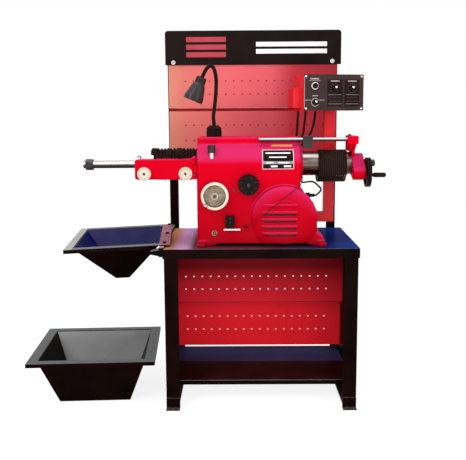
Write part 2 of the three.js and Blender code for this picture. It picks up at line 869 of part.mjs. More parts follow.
// Bulged front cover of the motor, with louvre slots, cut off level near the base
function motorCover() {
  const back = castFront - fit;
  const front = back - coverBulge;
  const arc = quarter(0);
  const outer = turned([
    [0, back],
    ...arc.map(([u, v]) => [coverRadius - coverRound + coverRound * u, back - coverBulge * v]),
    [0, front],
  ], 'y');
  const inner = turned([
    [0, back + over],
    [coverRadius - coverSheet, back + over],
    ...arc.map(([u, v]) => [
      coverRadius - coverRound + (coverRound - coverSheet) * u, back - (coverBulge - coverSheet) * v]),
    [0, front + coverSheet],
  ], 'y');
  const slots = Array.from({ length: louvreCount }, (_, i) => block(
    louvreLeft, louvreRight, front - over, back, louvreLow + i * louvrePitch, louvreLow + i * louvrePitch + louvreHeight));
  const foot = block(
    -coverRadius - over, coverRadius + over, front - over, back + over * 2,
    -coverRadius - over, castBase + coverFoot - motorZ);
  return cut(outer, inner, ...slots, foot);
}

function driveMotor() {
  const flangeBack = castFront + castWall + fit;
  return cut(
    join(
      drum(motorRadius, motorFront, motorBack, 'y', 0, 0, fineSides),
      drum(motorFlangeRadius, flangeBack, flangeBack + motorFlangeWidth, 'y', 0, 0, fineSides),
    ),
    drum(wormShaftRadius + fit, motorBack - motorShaftDepth, motorBack + over, 'y'),
  );
}

// Worm on the motor shaft: a core with one helical thread
function motorWorm() {
  const root = wormPitchRadius - wormTooth - wormClearance;
  const outer = wormPitchRadius + wormTooth;
  const width = wormLead * wormToothShare;
  const rings = wormTurns * wormSteps;
  const positions = [];
  for (let i = 0; i <= rings; i += 1) {
    const angle = (i / wormSteps) * 2 * Math.PI;
    const place = layY + (i / wormSteps - wormTurns / 2) * wormLead;
    for (const [radius, shift] of [[root - wormClearance, -1], [outer, -tipShare], [outer, tipShare], [root - wormClearance, 1]]) {
      positions.push([radius * Math.sin(angle), place + shift * width / 2, radius * Math.cos(angle)]);
    }
  }
  const faces = [];
  for (let i = 0; i < rings; i += 1) {
    for (let k = 0; k < 4; k += 1) {
      const a = 4 * i + k;
      const b = 4 * i + (k + 1) % 4;
      faces.push(a, a + 4, b, b, a + 4, b + 4);
    }
  }
  const end = 4 * rings;
  faces.push(0, 1, 2, 0, 2, 3, end, end + 2, end + 1, end, end + 3, end + 2);
  const geometry = new THREE.BufferGeometry();
  geometry.setAttribute('position', new THREE.BufferAttribute(new Float32Array(positions.flat()), 3));
  geometry.setIndex(faces);
  let thread = solid(geometry);
  if (thread.volume() < 0) {
    geometry.setIndex(faces.slice().reverse());
    thread = solid(geometry);
  }
  return join(
    drum(root, layY - wormLength / 2, layY + wormLength / 2, 'y'),
    thread,
    drum(wormShaftRadius, motorBack - motorShaftDepth + fit, castBack - castWall / 2 - fit, 'y'),
  );
}

// Lay shaft with the worm wheel and the spur gear, round its own axis
function wormWheel() {
  const wheel = gearOutline(wheelTeeth, wheelPitchRadius, wormTooth, wormTooth + wormClearance, wormToothShare / 2);
  const spurRadius = gearModule * spurTeeth / 2;
  const spurTurn = Math.atan2(axisZ - layZ, axisY - layY);
  const spur = gearOutline(spurTeeth, spurRadius, gearAddendum, gearDedendum, spurToothShare / 2, spurTurn);
  return join(
    prism(wheel, wheelX, wheelX + wheelWidth, 'x'),
    prism(spur, spurX, spurX + spurWidth, 'x'),
    drum(layRadius, castLeft + castWall / 2 + fit, spineRight - fit, 'x'),
  );
}

function addDrive(bench) {
  addPiece(bench, 'motor_cover', motorCover(), 'crimson', [motorX, 0, motorZ]);
  addPiece(bench, 'drive_motor', driveMotor(), 'iron', [motorX, 0, motorZ]);
  addPiece(bench, 'motor_worm', motorWorm(), 'steel', [motorX, 0, motorZ]);
  addPiece(bench, 'worm_wheel', wormWheel(), 'steel', [0, layY, layZ]);
}

// Quill: a sleeve that slides in the casting, with a window where the spur gear reaches the pinion
function quill() {
  const end = quillRight + quillEndLength;
  const sleeve = cut(
    join(
      drum(quillRadius, quillLeft, quillRight, 'x', 0, 0, fineSides),
      drum(quillEndRadius, quillRight - over, end, 'x', 0, 0, fineSides),
    ),
    drum(quillBore, quillLeft - over, coilLeft - bearingInset, 'x', 0, 0, fineSides),
    drum(drawbarRadius + fit, quillLeft, end + over, 'x', 0, 0),
  );
  const slot = block(windowLeft, windowRight, -windowHalf, windowHalf, -quillRadius - over, 0)
    .rotate([Math.atan2(spurOffset, axisZ - layZ) * 180 / Math.PI, 0, 0]);
  return cut(sleeve, slot);
}

// Arbor: thread end, shoulder collar, shaft with the long pinion, drawbar to the feed end
function arbor() {
  const shaftEnd = coilLeft - bearingInset - fit;
  const barEnd = housingEnd + dialWidth + drawbarNutWidth;
  const pinionRadius = gearModule * pinionTeeth / 2;
  const meshTurn = Math.atan2(layZ - axisZ, layY - axisY) + Math.PI / pinionTeeth;
  const pinion = gearOutline(pinionTeeth, pinionRadius, gearAddendum, gearDedendum, spurToothShare / 2, meshTurn);
  return join(
    drum(arborRadius, arborTip, collarFace + over, 'x', 0, 0, fineSides),
    drum(collarRadius, collarFace, collarFace + collarWidth, 'x', 0, 0, fineSides),
    drum(shaftRadius, collarFace + collarWidth - over, shaftEnd, 'x', 0, 0, fineSides),
    drum(drawbarRadius, shaftEnd - over, barEnd, 'x', 0, 0),
    prism(pinion, windowLeft + fit, windowRight - fit, 'x'),
  );
}

const bearing = (from) => prism(
  circle(quillBore - fit, 0, 0, fineSides), from, from + bearingWidth, 'x', [circle(shaftRadius + fit, 0, 0, fineSides)]);

function arborNut() {
  const start = arborTip + nutInset;
  const body = join(
    drum(nutAcross / Math.sqrt(3), start, start + nutWidth, 'x', 0, 0, 6),
    drum(nutFlangeRadius, start + nutWidth - over, start + nutWidth + nutFlangeWidth, 'x', 0, 0),
  );
  return cut(body, drum(arborRadius + fit, start - over, start + nutWidth + nutFlangeWidth + over, 'x', 0, 0));
}

function bellows() {
  const from = quillLeft;
  const to = castLeft - fit;
  const pitch = (to - from) / (2 * bellowsPleats);
  const zigzag = Array.from({ length: 2 * bellowsPleats + 1 }, (_, i) => [
    i % 2 ? bellowsRadius : bellowsRoot, from + i * pitch]);
  return turned([[quillRadius + bellowsGap, from], ...zigzag, [quillRadius + bellowsGap, to]], 'x');
}

function drawbarNut() {
  const start = housingEnd + dialWidth + fit;
  const end = housingEnd + dialWidth + drawbarNutWidth;
  return cut(
    drum(drawbarNutRadius, start, end, 'x', 0, 0, 6),
    drum(drawbarRadius + fit, start - over, end + over, 'x', 0, 0),
  );
}

function cordCoil() {
  const inner = quillRadius + coilHang + fit;
  return prism(
    circle(inner + coilCord, 0, -coilHang, fineSides), coilLeft, coilRight, 'x', [circle(inner, 0, -coilHang, fineSides)]);
}

// Feed bracket round the spindle axis: gear housing, neck above the coil, block that holds the stop rod
function feedBracket() {
  const quillEnd = quillRight + quillEndLength + fit;
  const wheelV = [feedWheelY - axisY, feedWheelZ - axisZ];
  const ends = [
    ...circle(housingRadius, 0, 0, fineSides), ...circle(wheelBossRadius, ...wheelV, fineSides),
  ];
  const housing = solid(new ConvexGeometry([quillEnd, housingEnd].flatMap(
    (x) => ends.map(([y, z]) => new THREE.Vector3(x, y, z)))));
  const y = (value) => value - axisY;
  const z = (value) => value - axisZ;
  const neck = prism([
    [y(bracketNeckY), 0], [y(bracketBack), 0], [y(bracketBack), z(bracketTop)],
    [y(bracketFront), z(bracketTop)], [y(bracketFront), z(bracketBlockLow)], [y(bracketNose), z(bracketBlockLow)],
    [y(bracketNeckY), z(bracketNeckLow)],
  ], bracketPlateX, bracketPlateEnd, 'x');
  const nose = block(
    bracketNoseX, bracketPlateEnd, y(bracketFront), y(bracketNose), z(bracketBlockLow), z(bracketTop));
  const dial = drum(dialRadius, housingEnd - over, housingEnd + dialWidth, 'x', 0, 0);
  const quillRoom = drum(coilRight - quillRight + quillRadius + over, 0, quillEnd, 'x', 0, 0, fineSides);
  const coilRoom = block(0, quillEnd, y(bracketNeckY) - over, y(bracketBack) + over, -axisZ, z(bracketNeckLow));
  const wheelBore = drum(
    feedShaft + fit, housingEnd - feedShaftDepth, housingEnd + over, 'x', ...wheelV);
  return cut(
    join(housing, cut(neck, coilRoom, quillRoom), nose, dial),
    drum(drawbarRadius + fit, quillEnd - over, housingEnd + dialWidth + over, 'x', 0, 0),
    wheelBore,
  );
}

// Feed handwheel round its own axis: rim, web, hub, shaft and the crank pin
function feedHandwheel() {
  const end = feedWheelStart + feedWheelWidth;
  const web = (feedWheelStart + end - feedWeb) / 2;
  const pinY = -Math.sqrt(crankReach ** 2 - crankDrop ** 2);
  return join(
    prism(circle(feedWheelRadius, 0, 0, fineSides), feedWheelStart, end, 'x',
      [circle(feedWheelRadius - feedRim, 0, 0, fineSides)]),
    drum(feedWheelRadius - feedRim / 2, web, web + feedWeb, 'x', 0, 0),
    drum(feedHub, feedWheelStart, end + feedHubProud, 'x', 0, 0),
    drum(feedShaft, housingEnd - feedShaftDepth + fit, feedWheelStart + over, 'x', 0, 0),
    drum(crankPin, web, end + crankLength, 'x', pinY, -crankDrop, coarseSides),
  );
}

function crankHandle(radius, pin, from, length, axis) {
  const tips = [[pin + fit, from], [radius * domeShare, from], [radius, from + radius * domeShare],
    [radius, from + length - radius * domeShare], [radius * domeShare, from + length], [pin + fit, from + length]];
  return turned(tips, axis, roundSides);
}

function addSpindle(bench) {
  const head = addGroup(bench, [0, axisY, axisZ]);
  const pinY = feedWheelY - axisY - Math.sqrt(crankReach ** 2 - crankDrop ** 2);
  const crankStart = feedWheelStart + feedWheelWidth + feedHubProud + fit;
  addPiece(head, 'quill', quill(), 'steel');
  addPiece(head, 'arbor', arbor(), 'steel');
  addPiece(head, 'arbor_nut', arborNut(), 'steel');
  addPiece(head, 'front_bearing', bearing(quillLeft + bearingInset), 'steel');
  addPiece(head, 'rear_bearing', bearing(coilLeft - bearingInset - bearingWidth - fit), 'steel');
  addPiece(head, 'bellows', bellows(), 'rubber');
  addPiece(head, 'cord_coil', cordCoil(), 'rubber');
  addPiece(head, 'drawbar_nut', drawbarNut(), 'black');
  addPiece(head, 'feed_bracket', feedBracket(), 'crimson');
  addPiece(head, 'feed_handwheel', feedHandwheel(), 'black', [0, feedWheelY - axisY, feedWheelZ - axisZ]);
  addPiece(head, 'feed_crank_handle', crankHandle(crankRadius, crankPin, 0, crankLength, 'x'), 'plastic',
    [crankStart, pinY, feedWheelZ - axisZ - crankDrop]);
}

function addStop(bench) {
  const rod = addGroup(bench, [0, rodY, rodZ]);
  addPiece(rod, 'stop_rod', drum(rodRadius, rodLeft, bracketNoseX - fit, 'x', 0, 0), 'steel');
  const clamp = cut(
    block(clampLeft, clampLeft + clampWidth, clampFront - rodY, clampBack - rodY, clampLow - rodZ, clampHigh - rodZ),
    drum(rodRadius + fit, clampLeft - over, clampLeft + clampWidth + over, 'x', 0, 0),
  );
  addPiece(rod, 'stop_clamp', clamp, 'black');
}

// Dovetail of the cross slide, [x, z], grown by a gap for the groove that rides on it
function dovetail(gap) {
  const middle = (armLow + armHigh) / 2;
  const root = castLeft - fit + (gap ? armGap + over : 0);
  return [
    [root, middle - wayRoot / 2 - gap], [wayX - gap, middle - wayCrown / 2 - gap],
    [wayX - gap, middle + wayCrown / 2 + gap], [root, middle + wayRoot / 2 + gap],
  ];
}

function toolArm() {
  const right = armRight;
  const outline = [
    [armLeft, armLow + armTaper], [armLeft + armTaper, armLow], [right, armLow], [right, armHigh + carriageRise],
    [right - carriageRise, armHigh + carriageRise], [right - 2 * carriageRise, armHigh],
    [armLeft + armTaper, armHigh], [armLeft, armHigh - armTaper],
  ];
  const beam = prism(outline, armFront, armFront + armDepth, 'y');
  const carriage = block(right - carriageWidth, right, armFront, carriageBack, armLow, armHigh);
  const halfBar = toolBarSize / 2 + fit;
  const studs = [leftKnobX, rightKnobX].map((x) => drum(
    knobStem + fit, armHigh - knobDepth, armHigh + over, 'z', x, armFront + armDepth / 2, coarseSides));
  const dials = [leftDialX, rightDialX].map((x) => drum(
    toolDialStem + fit, armFront - over, armFront + toolDialDepth, 'y', x, toolDialZ, coarseSides));
  return cut(
    join(beam, carriage),
    prism(dovetail(fit), armFront - over, carriageBack + over, 'y'),
    block(leftDialX - halfBar, leftDialX + halfBar, armFront + 2 * toolDialDepth - fit, armFront + armDepth + over,
      toolDialZ - halfBar, toolDialZ + halfBar),
    ...studs,
    ...dials,
  );
}

const toolDial = () => join(
  drum(toolDialRadius, -toolDialWidth, -fit, 'y', 0, 0, roundSides),
  drum(toolDialStem, -fit - over, toolDialDepth - fit, 'y', 0, 0, coarseSides),
);

const clampKnob = () => turned([
  [0, -knobDepth + fit], [knobStem, -knobDepth + fit], [knobStem, knobLow], [knobRadius, knobLow],
  [knobRadius, knobLow + knobHeight * domeShare], [knobRadius * domeShare, knobLow + knobHeight], [0, knobLow + knobHeight],
], 'z', roundSides);

function addToolArm(bench) {
  const mid = armFront + armDepth / 2;
  const half = toolBarSize / 2;
  addPiece(bench, 'slide_way', prism(dovetail(0), castFront + wayInset, wayBack, 'y'), 'steel');
  addPiece(bench, 'tool_arm', toolArm(), 'crimson');
  addPiece(bench, 'left_tool_dial', toolDial(), 'cream', [leftDialX, armFront, toolDialZ]);
  addPiece(bench, 'right_tool_dial', toolDial(), 'cream', [rightDialX, armFront, toolDialZ]);
  addPiece(bench, 'left_clamp_knob', clampKnob(), 'plastic', [leftKnobX, mid, armHigh]);
  addPiece(bench, 'right_clamp_knob', clampKnob(), 'plastic', [rightKnobX, mid, armHigh]);
  addPiece(bench, 'tool_bar', block(
    -half, half, armFront + 2 * toolDialDepth + toolBarSize, toolBarEnd, -half, half), 'steel', [leftDialX, 0, toolDialZ]);
}

function crossHandwheel() {
  const angle = degrees(crossHandleAngle);
  const pin = [crossHandleReach * Math.cos(angle), crossHandleReach * Math.sin(angle)];
  return join(
    prism(circle(crossRadius, 0, 0, fineSides), crossFace, crossBack, 'y', [circle(crossRimRadius, 0, 0, fineSides)]),
    drum(crossRimRadius + over, crossBack - crossWeb, crossBack, 'y', 0, 0),
    drum(crossHub, crossFace, castFront - fit, 'y', 0, 0),
    drum(crossShaft, crossBack - over, castFront + 2 * castWall, 'y', 0, 0),
    drum(crossHandlePin, crossFace - crossHandleLength, crossFace + over, 'y', ...pin, coarseSides),
  );
}

function selectorKnob() {
  const steps = 4 * selectorLobes;
  const outline = Array.from({ length: steps }, (_, i) => {
    const angle = i * 2 * Math.PI / steps;
    const radius = selectorRadius - selectorDip * (i % 4 === 2 ? 1 : 0);
    return [radius * Math.cos(angle), radius * Math.sin(angle)];
  });
  const back = castFront - fit;
  return join(
    prism(outline, selectorFace, back - selectorBase, 'y'),
    drum(selectorRadius + selectorRing, back - selectorBase - over, back, 'y', 0, 0, fineSides),
  );
}

function addFrontControls(bench) {
  const back = castFront - fit;
  const angle = degrees(crossHandleAngle);
  addPiece(bench, 'cross_feed_handwheel', crossHandwheel(), 'cream', [crossX, 0, crossZ]);
  addPiece(bench, 'cross_feed_handle', crankHandle(
    crossHandleRadius, crossHandlePin, -crossHandleLength - fit, crossHandleLength, 'y'), 'plastic', [
    crossX + crossHandleReach * Math.cos(angle), crossFace, crossZ + crossHandleReach * Math.sin(angle)]);
  addPiece(bench, 'selector_knob', selectorKnob(), 'plastic', [selectorX, 0, selectorZ]);
  addPiece(bench, 'limit_switch', block(
    0, switchWidth, back - switchDepth, back, 0, switchHeight), 'black', [switchX, 0, switchLow]);
  addPiece(bench, 'trip_lever', join(
    block(-leverThick, leverLength - leverThick, leverFront, leverFront + leverThick, -leverThick / 2, leverThick / 2),
    drum(leverPin, leverFront + leverThick / 2, back, 'y', 0, 0, coarseSides),
  ), 'steel', [switchX, 0, leverZ]);
  addPiece(bench, 'quill_lock_screw', join(
    drum(lockNeckRadius, fit, lockNeckHeight + over, 'z', 0, 0),
    drum(lockHeadRadius, lockNeckHeight, lockNeckHeight + lockHeadHeight, 'z', 0, 0),
  ), 'steel', [lockX, lockY, lockSeat]);
}

// Control box: a shell open at the front and closed by the panel, which carries button and knobs
function controlBox() {
  const half = boxWidth / 2;
  const rise = boxHeight / 2;
  const shell = cut(
    block(-half, half, 0, boxDepth, -rise, rise),
    block(-half + boxSheet, half - boxSheet, -over, boxDepth - boxSheet, -rise + boxSheet, rise - boxSheet),
  );
  const side = block(
    -half - sideBoxWidth, -half + boxSheet / 2, sideBoxFront, sideBoxFront + sideBoxDepth,
    sideBoxLow, sideBoxLow + sideBoxHeight);
  return join(shell, side);
}

const knobPlaces = [[modeX, modeZ], [dialKnobX, dialKnobZ], [dialKnobX + dialKnobGap, dialKnobZ]];

function controlPanel() {
  const half = boxWidth / 2;
  const rise = boxHeight / 2;
  const holes = [
    circle(buttonRadius + fit, buttonX, buttonZ, roundSides),
    ...knobPlaces.map(([x, z]) => circle(panelStem + fit, x, z, coarseSides)),
  ];
  const plate = prism(rectangle(-half, half, -rise, rise), -panelPlate - fit, -fit, 'y', holes);
  const bezel = prism(
    circle(bezelRadius, buttonX, buttonZ, roundSides), -panelPlate - bezelWidth, -panelPlate, 'y', [holes[0]]);
  return join(plate, bezel);
}

const panelKnob = () => join(
  drum(panelKnobRadius, -panelKnobLength - 2 * fit, -2 * fit, 'y', 0, 0, roundSides),
  drum(panelStem, -over, panelStemDepth, 'y', 0, 0, coarseSides),
);

const startButton = () => drum(buttonRadius, -bezelWidth - buttonOut, panelStemDepth, 'y', 0, 0, roundSides);

function controlArm() {
  const top = boxZ - boxHeight / 2 - fit;
  const flankX = spineRight + flankShares[5][0] * flankWidth + fit;
  const upright = block(ductX, ductX + ductSize, ductY, ductY + ductSize, ductFootLow, top);
  const foot = block(flankX, ductX + ductSize, ductY, ductY + ductSize, ductFootLow, ductFootHigh);
  const hollow = block(
    ductX + ductWall, ductX + ductSize - ductWall, ductY + ductWall, ductY + ductSize - ductWall,
    ductFootLow + ductWall, top + over);
  return cut(join(upright, foot), hollow);
}

function addControls(bench) {
  addPiece(bench, 'control_arm', controlArm(), 'red');
  const box = addGroup(bench, [boxX, boxY, boxZ], degrees(boxTurn));
  addPiece(box, 'control_box', controlBox(), 'red');
  addPiece(box, 'control_panel', controlPanel(), 'black');
  addPiece(box, 'start_button', startButton(), 'cream', [buttonX, -panelPlate, buttonZ]);
  ['mode_selector', 'speed_knob', 'feed_knob'].forEach((name, i) => {
    const [x, z] = knobPlaces[i];
    addPiece(box, name, panelKnob(), 'plastic', [x, -panelPlate, z]);
  });
}

// Bends of the lamp's neck, as shares of the way across and up to the shade's pivot
const neckShares = [
  [0.0442, 0.348], [-0.0442, 0.4964], [-0.1325, 0.6544], [-0.1987, 0.8267], [-0.2097, 0.9847],
  [-0.1325, 1.1139], [0.0442, 1.2097], [0.2649, 1.2336], [0.5408, 1.1857], [0.7726, 1.0996], [1, 1],
];

function gooseneck() {
  const low = castTop + fit + lampBaseHeight + fit;
  const bends = neckShares.map(([across, up]) => [
    lampX + across * (lampPivotX - lampX), lampY, castTop + up * (lampPivotZ - castTop)]);
  const route = [[lampX, lampY, low], [lampX, lampY, low + neckRadius], ...bends];
  const ball = solid(new THREE.SphereGeometry(lampBall, coarseSides, coarseSides / 2)
    .translate(lampPivotX, lampY, lampPivotZ));
  return join(tube(route, neckRadius, neckStep, coarseSides), ball);
}

// Shade round the ball at its own origin, opening downwards
function lampHead() {
  const lift = Math.sqrt((lampBall + fit) ** 2 - lampHole ** 2) + lampWall;
  const low = lift - lampLength;
  return turned([
    [lampHole, lift], [lampTopRadius, lift], [lampRimRadius, low], [lampRimRadius - lampWall, low],
    [lampTopRadius - lampWall, lift - lampWall], [lampHole, lift - lampWall],
  ], 'z');
}

function addLamp(bench) {
  addPiece(bench, 'lamp_base', drum(lampBaseRadius, fit, lampBaseHeight + fit, 'z', 0, 0), 'black',
    [lampX, lampY, castTop]);
  addPiece(bench, 'gooseneck', gooseneck(), 'black');
  const head = addGroup(bench, [lampPivotX, lampY, lampPivotZ]);
  head.rotation.y = degrees(lampTilt);
  addPiece(head, 'lamp_head', lampHead(), 'black');
}

const glandEnd = glandSeat + glandLength;
const coilWireRadius = quillRadius + coilHang + fit + coilCord / 2;
const coilEndY = axisY + coilWireRadius;
const coilEndZ = axisZ - coilHang;
const cordRoute = [
  [glandEnd + fit, glandY, glandZ], [glandEnd + cordRadius, glandY, glandZ], [213, 128, 774], [224, 138, 786], [216, 180, 800], [204, 230, 808],
  [190, 280, 804], [172, 335, 798], [168, 378, 812], [180, 385, 845], [196, 330, 866],
  [201, 275, 868], [coilLeft - cordRadius, coilEndY, coilEndZ], [coilLeft - fit, coilEndY, coilEndZ],
];
const tailRoute = [
  [coilRight + fit, coilEndY, coilEndZ], [coilRight + cordRadius, coilEndY, coilEndZ], [329, 266, 876], [318, 292, 884], [304, 322, 876],
  [288, 345, 845], [279, 347, 800], [plugX, plugY, plugTop + fit],
];
const tripRoute = [
  [-46, 36, 664], [-30, 33, 674], [0, 29, 697], [45, 27, 735], [90, 29, 771],
  [118, 34, 793], [137, 41, 808], [150, 54, 830], [143.3, 88, 858],
];
const cableRoutes = [
  [[152, 300, 1073], [150, 303, 1030], [148, 318, 985], [142, 352, 950], [130, 366, 905], [122, 358, 850], [121, 354.8, 815]],
  [[181, 300, 1073], [177, 303, 1030], [172, 318, 985], [158, 352, 950], [142, 366, 905], [134, 358, 850], [133, 354.8, 815]],
  [[218, 300, 1073], [213, 303, 1030], [200, 318, 985], [176, 352, 950], [154, 366, 905], [146, 358, 850], [145, 354.8, 815]],
];

function powerPlug() {
  const low = plugTop - plugLength;
  const pins = [-1, 1].map((side) => drum(
    plugPinRadius, low - plugPins, low + over, 'z', side * plugPinGap, 0, 8));
  return join(drum(plugRadius, low, plugTop, 'z', 0, 0, roundSides), ...pins);
}

// Three cables of the control box, held side by side by two clips on the back of the casting
function controlCables() {
  const cables = cableRoutes.map((route) => tube(route, cableRadius, cableStep));
  const end = cableRoutes[0].length - 1;
  const first = cableRoutes[0][end];
  const last = cableRoutes[2][end];
  const clip = block(
    first[0] - 2 * cableRadius, last[0] + 2 * cableRadius, castBack + fit, first[1] + cableRadius / 2,
    first[2], first[2] + 2 * clipHeight);
  return join(clip, ...cables);
}

function addCords(bench) {
  addPiece(bench, 'cord_gland', join(
    drum(glandRadius, glandSeat + fit, glandSeat + glandLength / 2, 'x', 0, 0),
    drum(glandRadius * domeShare, glandSeat + glandLength / 2 - over, glandEnd, 'x', 0, 0, coarseSides),
  ), 'plastic', [0, glandY, glandZ]);
  addPiece(bench, 'power_cord', tube(cordRoute, cordRadius, cordStep), 'rubber');
  addPiece(bench, 'cord_tail', tube(tailRoute, cordRadius, cordStep), 'rubber');
  addPiece(bench, 'power_plug', powerPlug(), 'rubber', [plugX, plugY, 0]);
  addPiece(bench, 'trip_cord', join(
    tube(tripRoute, tripRadius, tripStep),
    drum(connectorRadius, tripRoute[0][0] - connectorLength, tripRoute[0][0] + over, 'x', tripRoute[0][1],
      tripRoute[0][2], coarseSides),
  ), 'rubber');
  addPiece(bench, 'control_cables', controlCables(), 'rubber');
}

const cordNodes = ['power_cord', 'cord_tail', 'cord_coil', 'power_plug'];

// The whole lathe, moved so that its origin lies on the floor below the middle of its box
function brakeLathe() {
  const group = new THREE.Group();
  const bench = addGroup(group, [0, 0, 0]);
  addBench(bench);
  addTrays(bench);
  addPiece(bench, 'headstock_casting', headstockCasting(), 'crimson');
  addDrive(bench);
  addSpindle(bench);
  addStop(bench);
  addToolArm(bench);
  addFrontControls(bench);
  addControls(bench);
  addLamp(bench);
  addCords(bench);
  group.updateMatrixWorld(true);
  const box = new THREE.Box3();
  group.traverse((item) => {
    if (item.isMesh && !cordNodes.includes(item.name)) box.expandByObject(item, true);
  });
  const centre = box.getCenter(new THREE.Vector3());
  bench.position.set(-centre.x, -centre.y, -box.min.z);
  return group;
}

export default brakeLathe();
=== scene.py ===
# %% [markdown]
# This lesson dresses a brake lathe on its bench. The solids and joints come from the CAD frame, and
# Blender adds the fine surface: rounded sheet-metal edges, punched holes, pleats, cords and paint.
# The frame comes first, because every piece has to ride on one of its bodies.

# %% Load the frame
import json
import math

import bmesh
import bpy
from mathutils import Matrix, Vector

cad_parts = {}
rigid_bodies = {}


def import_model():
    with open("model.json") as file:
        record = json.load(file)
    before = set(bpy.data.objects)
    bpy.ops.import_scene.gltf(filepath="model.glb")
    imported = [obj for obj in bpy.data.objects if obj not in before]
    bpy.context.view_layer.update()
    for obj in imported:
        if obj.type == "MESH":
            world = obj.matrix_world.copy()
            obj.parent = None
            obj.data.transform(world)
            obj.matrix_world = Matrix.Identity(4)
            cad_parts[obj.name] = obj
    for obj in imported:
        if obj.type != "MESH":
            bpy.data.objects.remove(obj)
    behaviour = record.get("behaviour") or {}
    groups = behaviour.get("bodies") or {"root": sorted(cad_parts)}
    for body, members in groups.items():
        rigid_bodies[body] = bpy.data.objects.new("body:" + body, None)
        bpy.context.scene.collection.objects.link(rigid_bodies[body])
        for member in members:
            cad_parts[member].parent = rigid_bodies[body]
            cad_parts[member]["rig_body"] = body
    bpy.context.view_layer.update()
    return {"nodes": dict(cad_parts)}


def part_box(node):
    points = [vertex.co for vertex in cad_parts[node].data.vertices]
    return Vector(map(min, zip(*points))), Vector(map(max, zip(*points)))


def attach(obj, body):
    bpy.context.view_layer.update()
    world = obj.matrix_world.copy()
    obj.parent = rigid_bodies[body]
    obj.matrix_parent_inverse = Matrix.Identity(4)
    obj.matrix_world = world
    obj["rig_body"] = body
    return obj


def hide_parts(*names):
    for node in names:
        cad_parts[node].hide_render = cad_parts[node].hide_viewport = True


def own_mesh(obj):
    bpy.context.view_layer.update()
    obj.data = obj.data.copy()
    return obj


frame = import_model()

# %% [markdown]
# A machine drawing is easier to follow in millimetres than in metres. The zero point lies on the floor
# below the middle of the bench's front edge, and one matrix turns such places into the frame's metres.
# Its shift is read from the bench top instead of being typed, so it follows the CAD.

# %% Millimetres of the bench
MM = 0.001
BENCH_WIDTH = 700
BENCH_HEIGHT = 591
bench_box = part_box("bench_top")
bench_origin = Vector((bench_box[1].x - BENCH_WIDTH / 2 * MM, bench_box[0].y, 0))
BENCH = Matrix.Translation(bench_origin) @ Matrix.Scale(MM, 4)


def at(x, y, z):
    """A place given in millimetres of the bench, in the frame's metres."""
    return BENCH @ Vector((x, y, z))


def turned_place(x, y, z, angle=0, axis="Z", base=BENCH):
    """A local frame in millimetres: moved to a place and turned about one axis, in degrees."""
    return base @ Matrix.Translation((x, y, z)) @ Matrix.Rotation(math.radians(angle), 4, axis)


print("bench origin:", [round(v, 4) for v in bench_origin])

# %% [markdown]
# The camera stands where the photographer stood: a little left of the middle, about a metre up and two
# and a half metres away, looking slightly down. A camera could be aimed by eye, but here its place was
# worked out from the edges of the bench, so that a render can be laid beside the photograph.

# %% Camera
CAMERA_PLACE = (-82.7, -2584.46, 1046.7)
CAMERA_YAW = 0.0063
CAMERA_PITCH = 0.1488
CAMERA_ROLL = 0.0065
FOCAL_PIXELS = 742.68
PHOTO_WIDTH = 466

camera_data = bpy.data.cameras.new("camera")
camera_data.sensor_fit = "HORIZONTAL"
camera_data.lens = FOCAL_PIXELS * camera_data.sensor_width / PHOTO_WIDTH
camera = bpy.data.objects.new("camera", camera_data)
camera.matrix_world = (
    Matrix.Translation(at(*CAMERA_PLACE))
    @ Matrix.Rotation(CAMERA_YAW, 4, "Z")
    @ Matrix.Rotation(math.pi / 2 - CAMERA_PITCH, 4, "X")
    @ Matrix.Rotation(-CAMERA_ROLL, 4, "Z")
)
bpy.context.scene.collection.objects.link(camera)
bpy.context.scene.camera = camera
print("lens:", round(camera_data.lens, 2), "mm")

# %% [markdown]
# Materials are node trees. Colours are picked as sRGB hex values, which is how paint charts give
# them, and one function turns them into the linear values that the renderer works with.

# %% Colour and node helpers
def linear(code):
    """An sRGB hex colour as linear RGBA."""
    parts = [int(code[i:i + 2], 16) / 255 for i in (1, 3, 5)]
    return [v / 12.92 if v <= 0.04045 else ((v + 0.055) / 1.055) ** 2.4 for v in parts] + [1]


def add(tree, kind, inputs=None, **settings):
    """Adds a node. Inputs maps a socket's name or number to a value or to another node's output."""
    node = tree.nodes.new(kind)
    for name, value in settings.items():
        setattr(node, name, value)
    for key, value in (inputs or {}).items():
        if isinstance(value, bpy.types.NodeSocket):
            tree.links.new(value, node.inputs[key])
        else:
            node.inputs[key].default_value = value
    return node


def blank_material(name):
    material = bpy.data.materials.new(name)
    material.use_nodes = True
    material.node_tree.nodes.clear()
    return material, material.node_tree


def per_mm(size):
    """Texture scale for a pattern whose grain is this many millimetres, on coordinates in metres."""
    return 1 / (size * MM)


# %% [markdown]
# Most finishes here are a layer over metal: enamel, powder coat, plating. Each could have a node tree
# of its own, but they share one recipe: a slow colour drift, a fine grain that changes roughness, and
# a shallow bump of the same grain. The numbers differ, so each finish gets its own call with its own
# grain size in millimetres. Faces that look up or down can have a tone of their own: a painted
# reflection of what they would mirror, which upright faces don't. It goes with the surface and never
# with the camera. The grain of paint and of machining is often too fine to show in a render, so it is
# drawn about a millimetre coarse.


def facing(tree, low, high, colour, other):
    """Blends to a painted reflection's colour where the surface's upward direction runs from low to high."""
    normal = add(tree, "ShaderNodeNewGeometry").outputs["Normal"]
    upward = add(tree, "ShaderNodeSeparateXYZ", {0: normal}).outputs["Z"]
    share = add(tree, "ShaderNodeMapRange", {"Value": upward, "From Min": low, "From Max": high})
    mix = add(tree, "ShaderNodeMix", {"Factor": share.outputs["Result"]}, data_type="RGBA")
    tree.links.new(colour, mix.inputs[6])
    mix.inputs[7].default_value = linear(other)
    return mix.outputs[2]


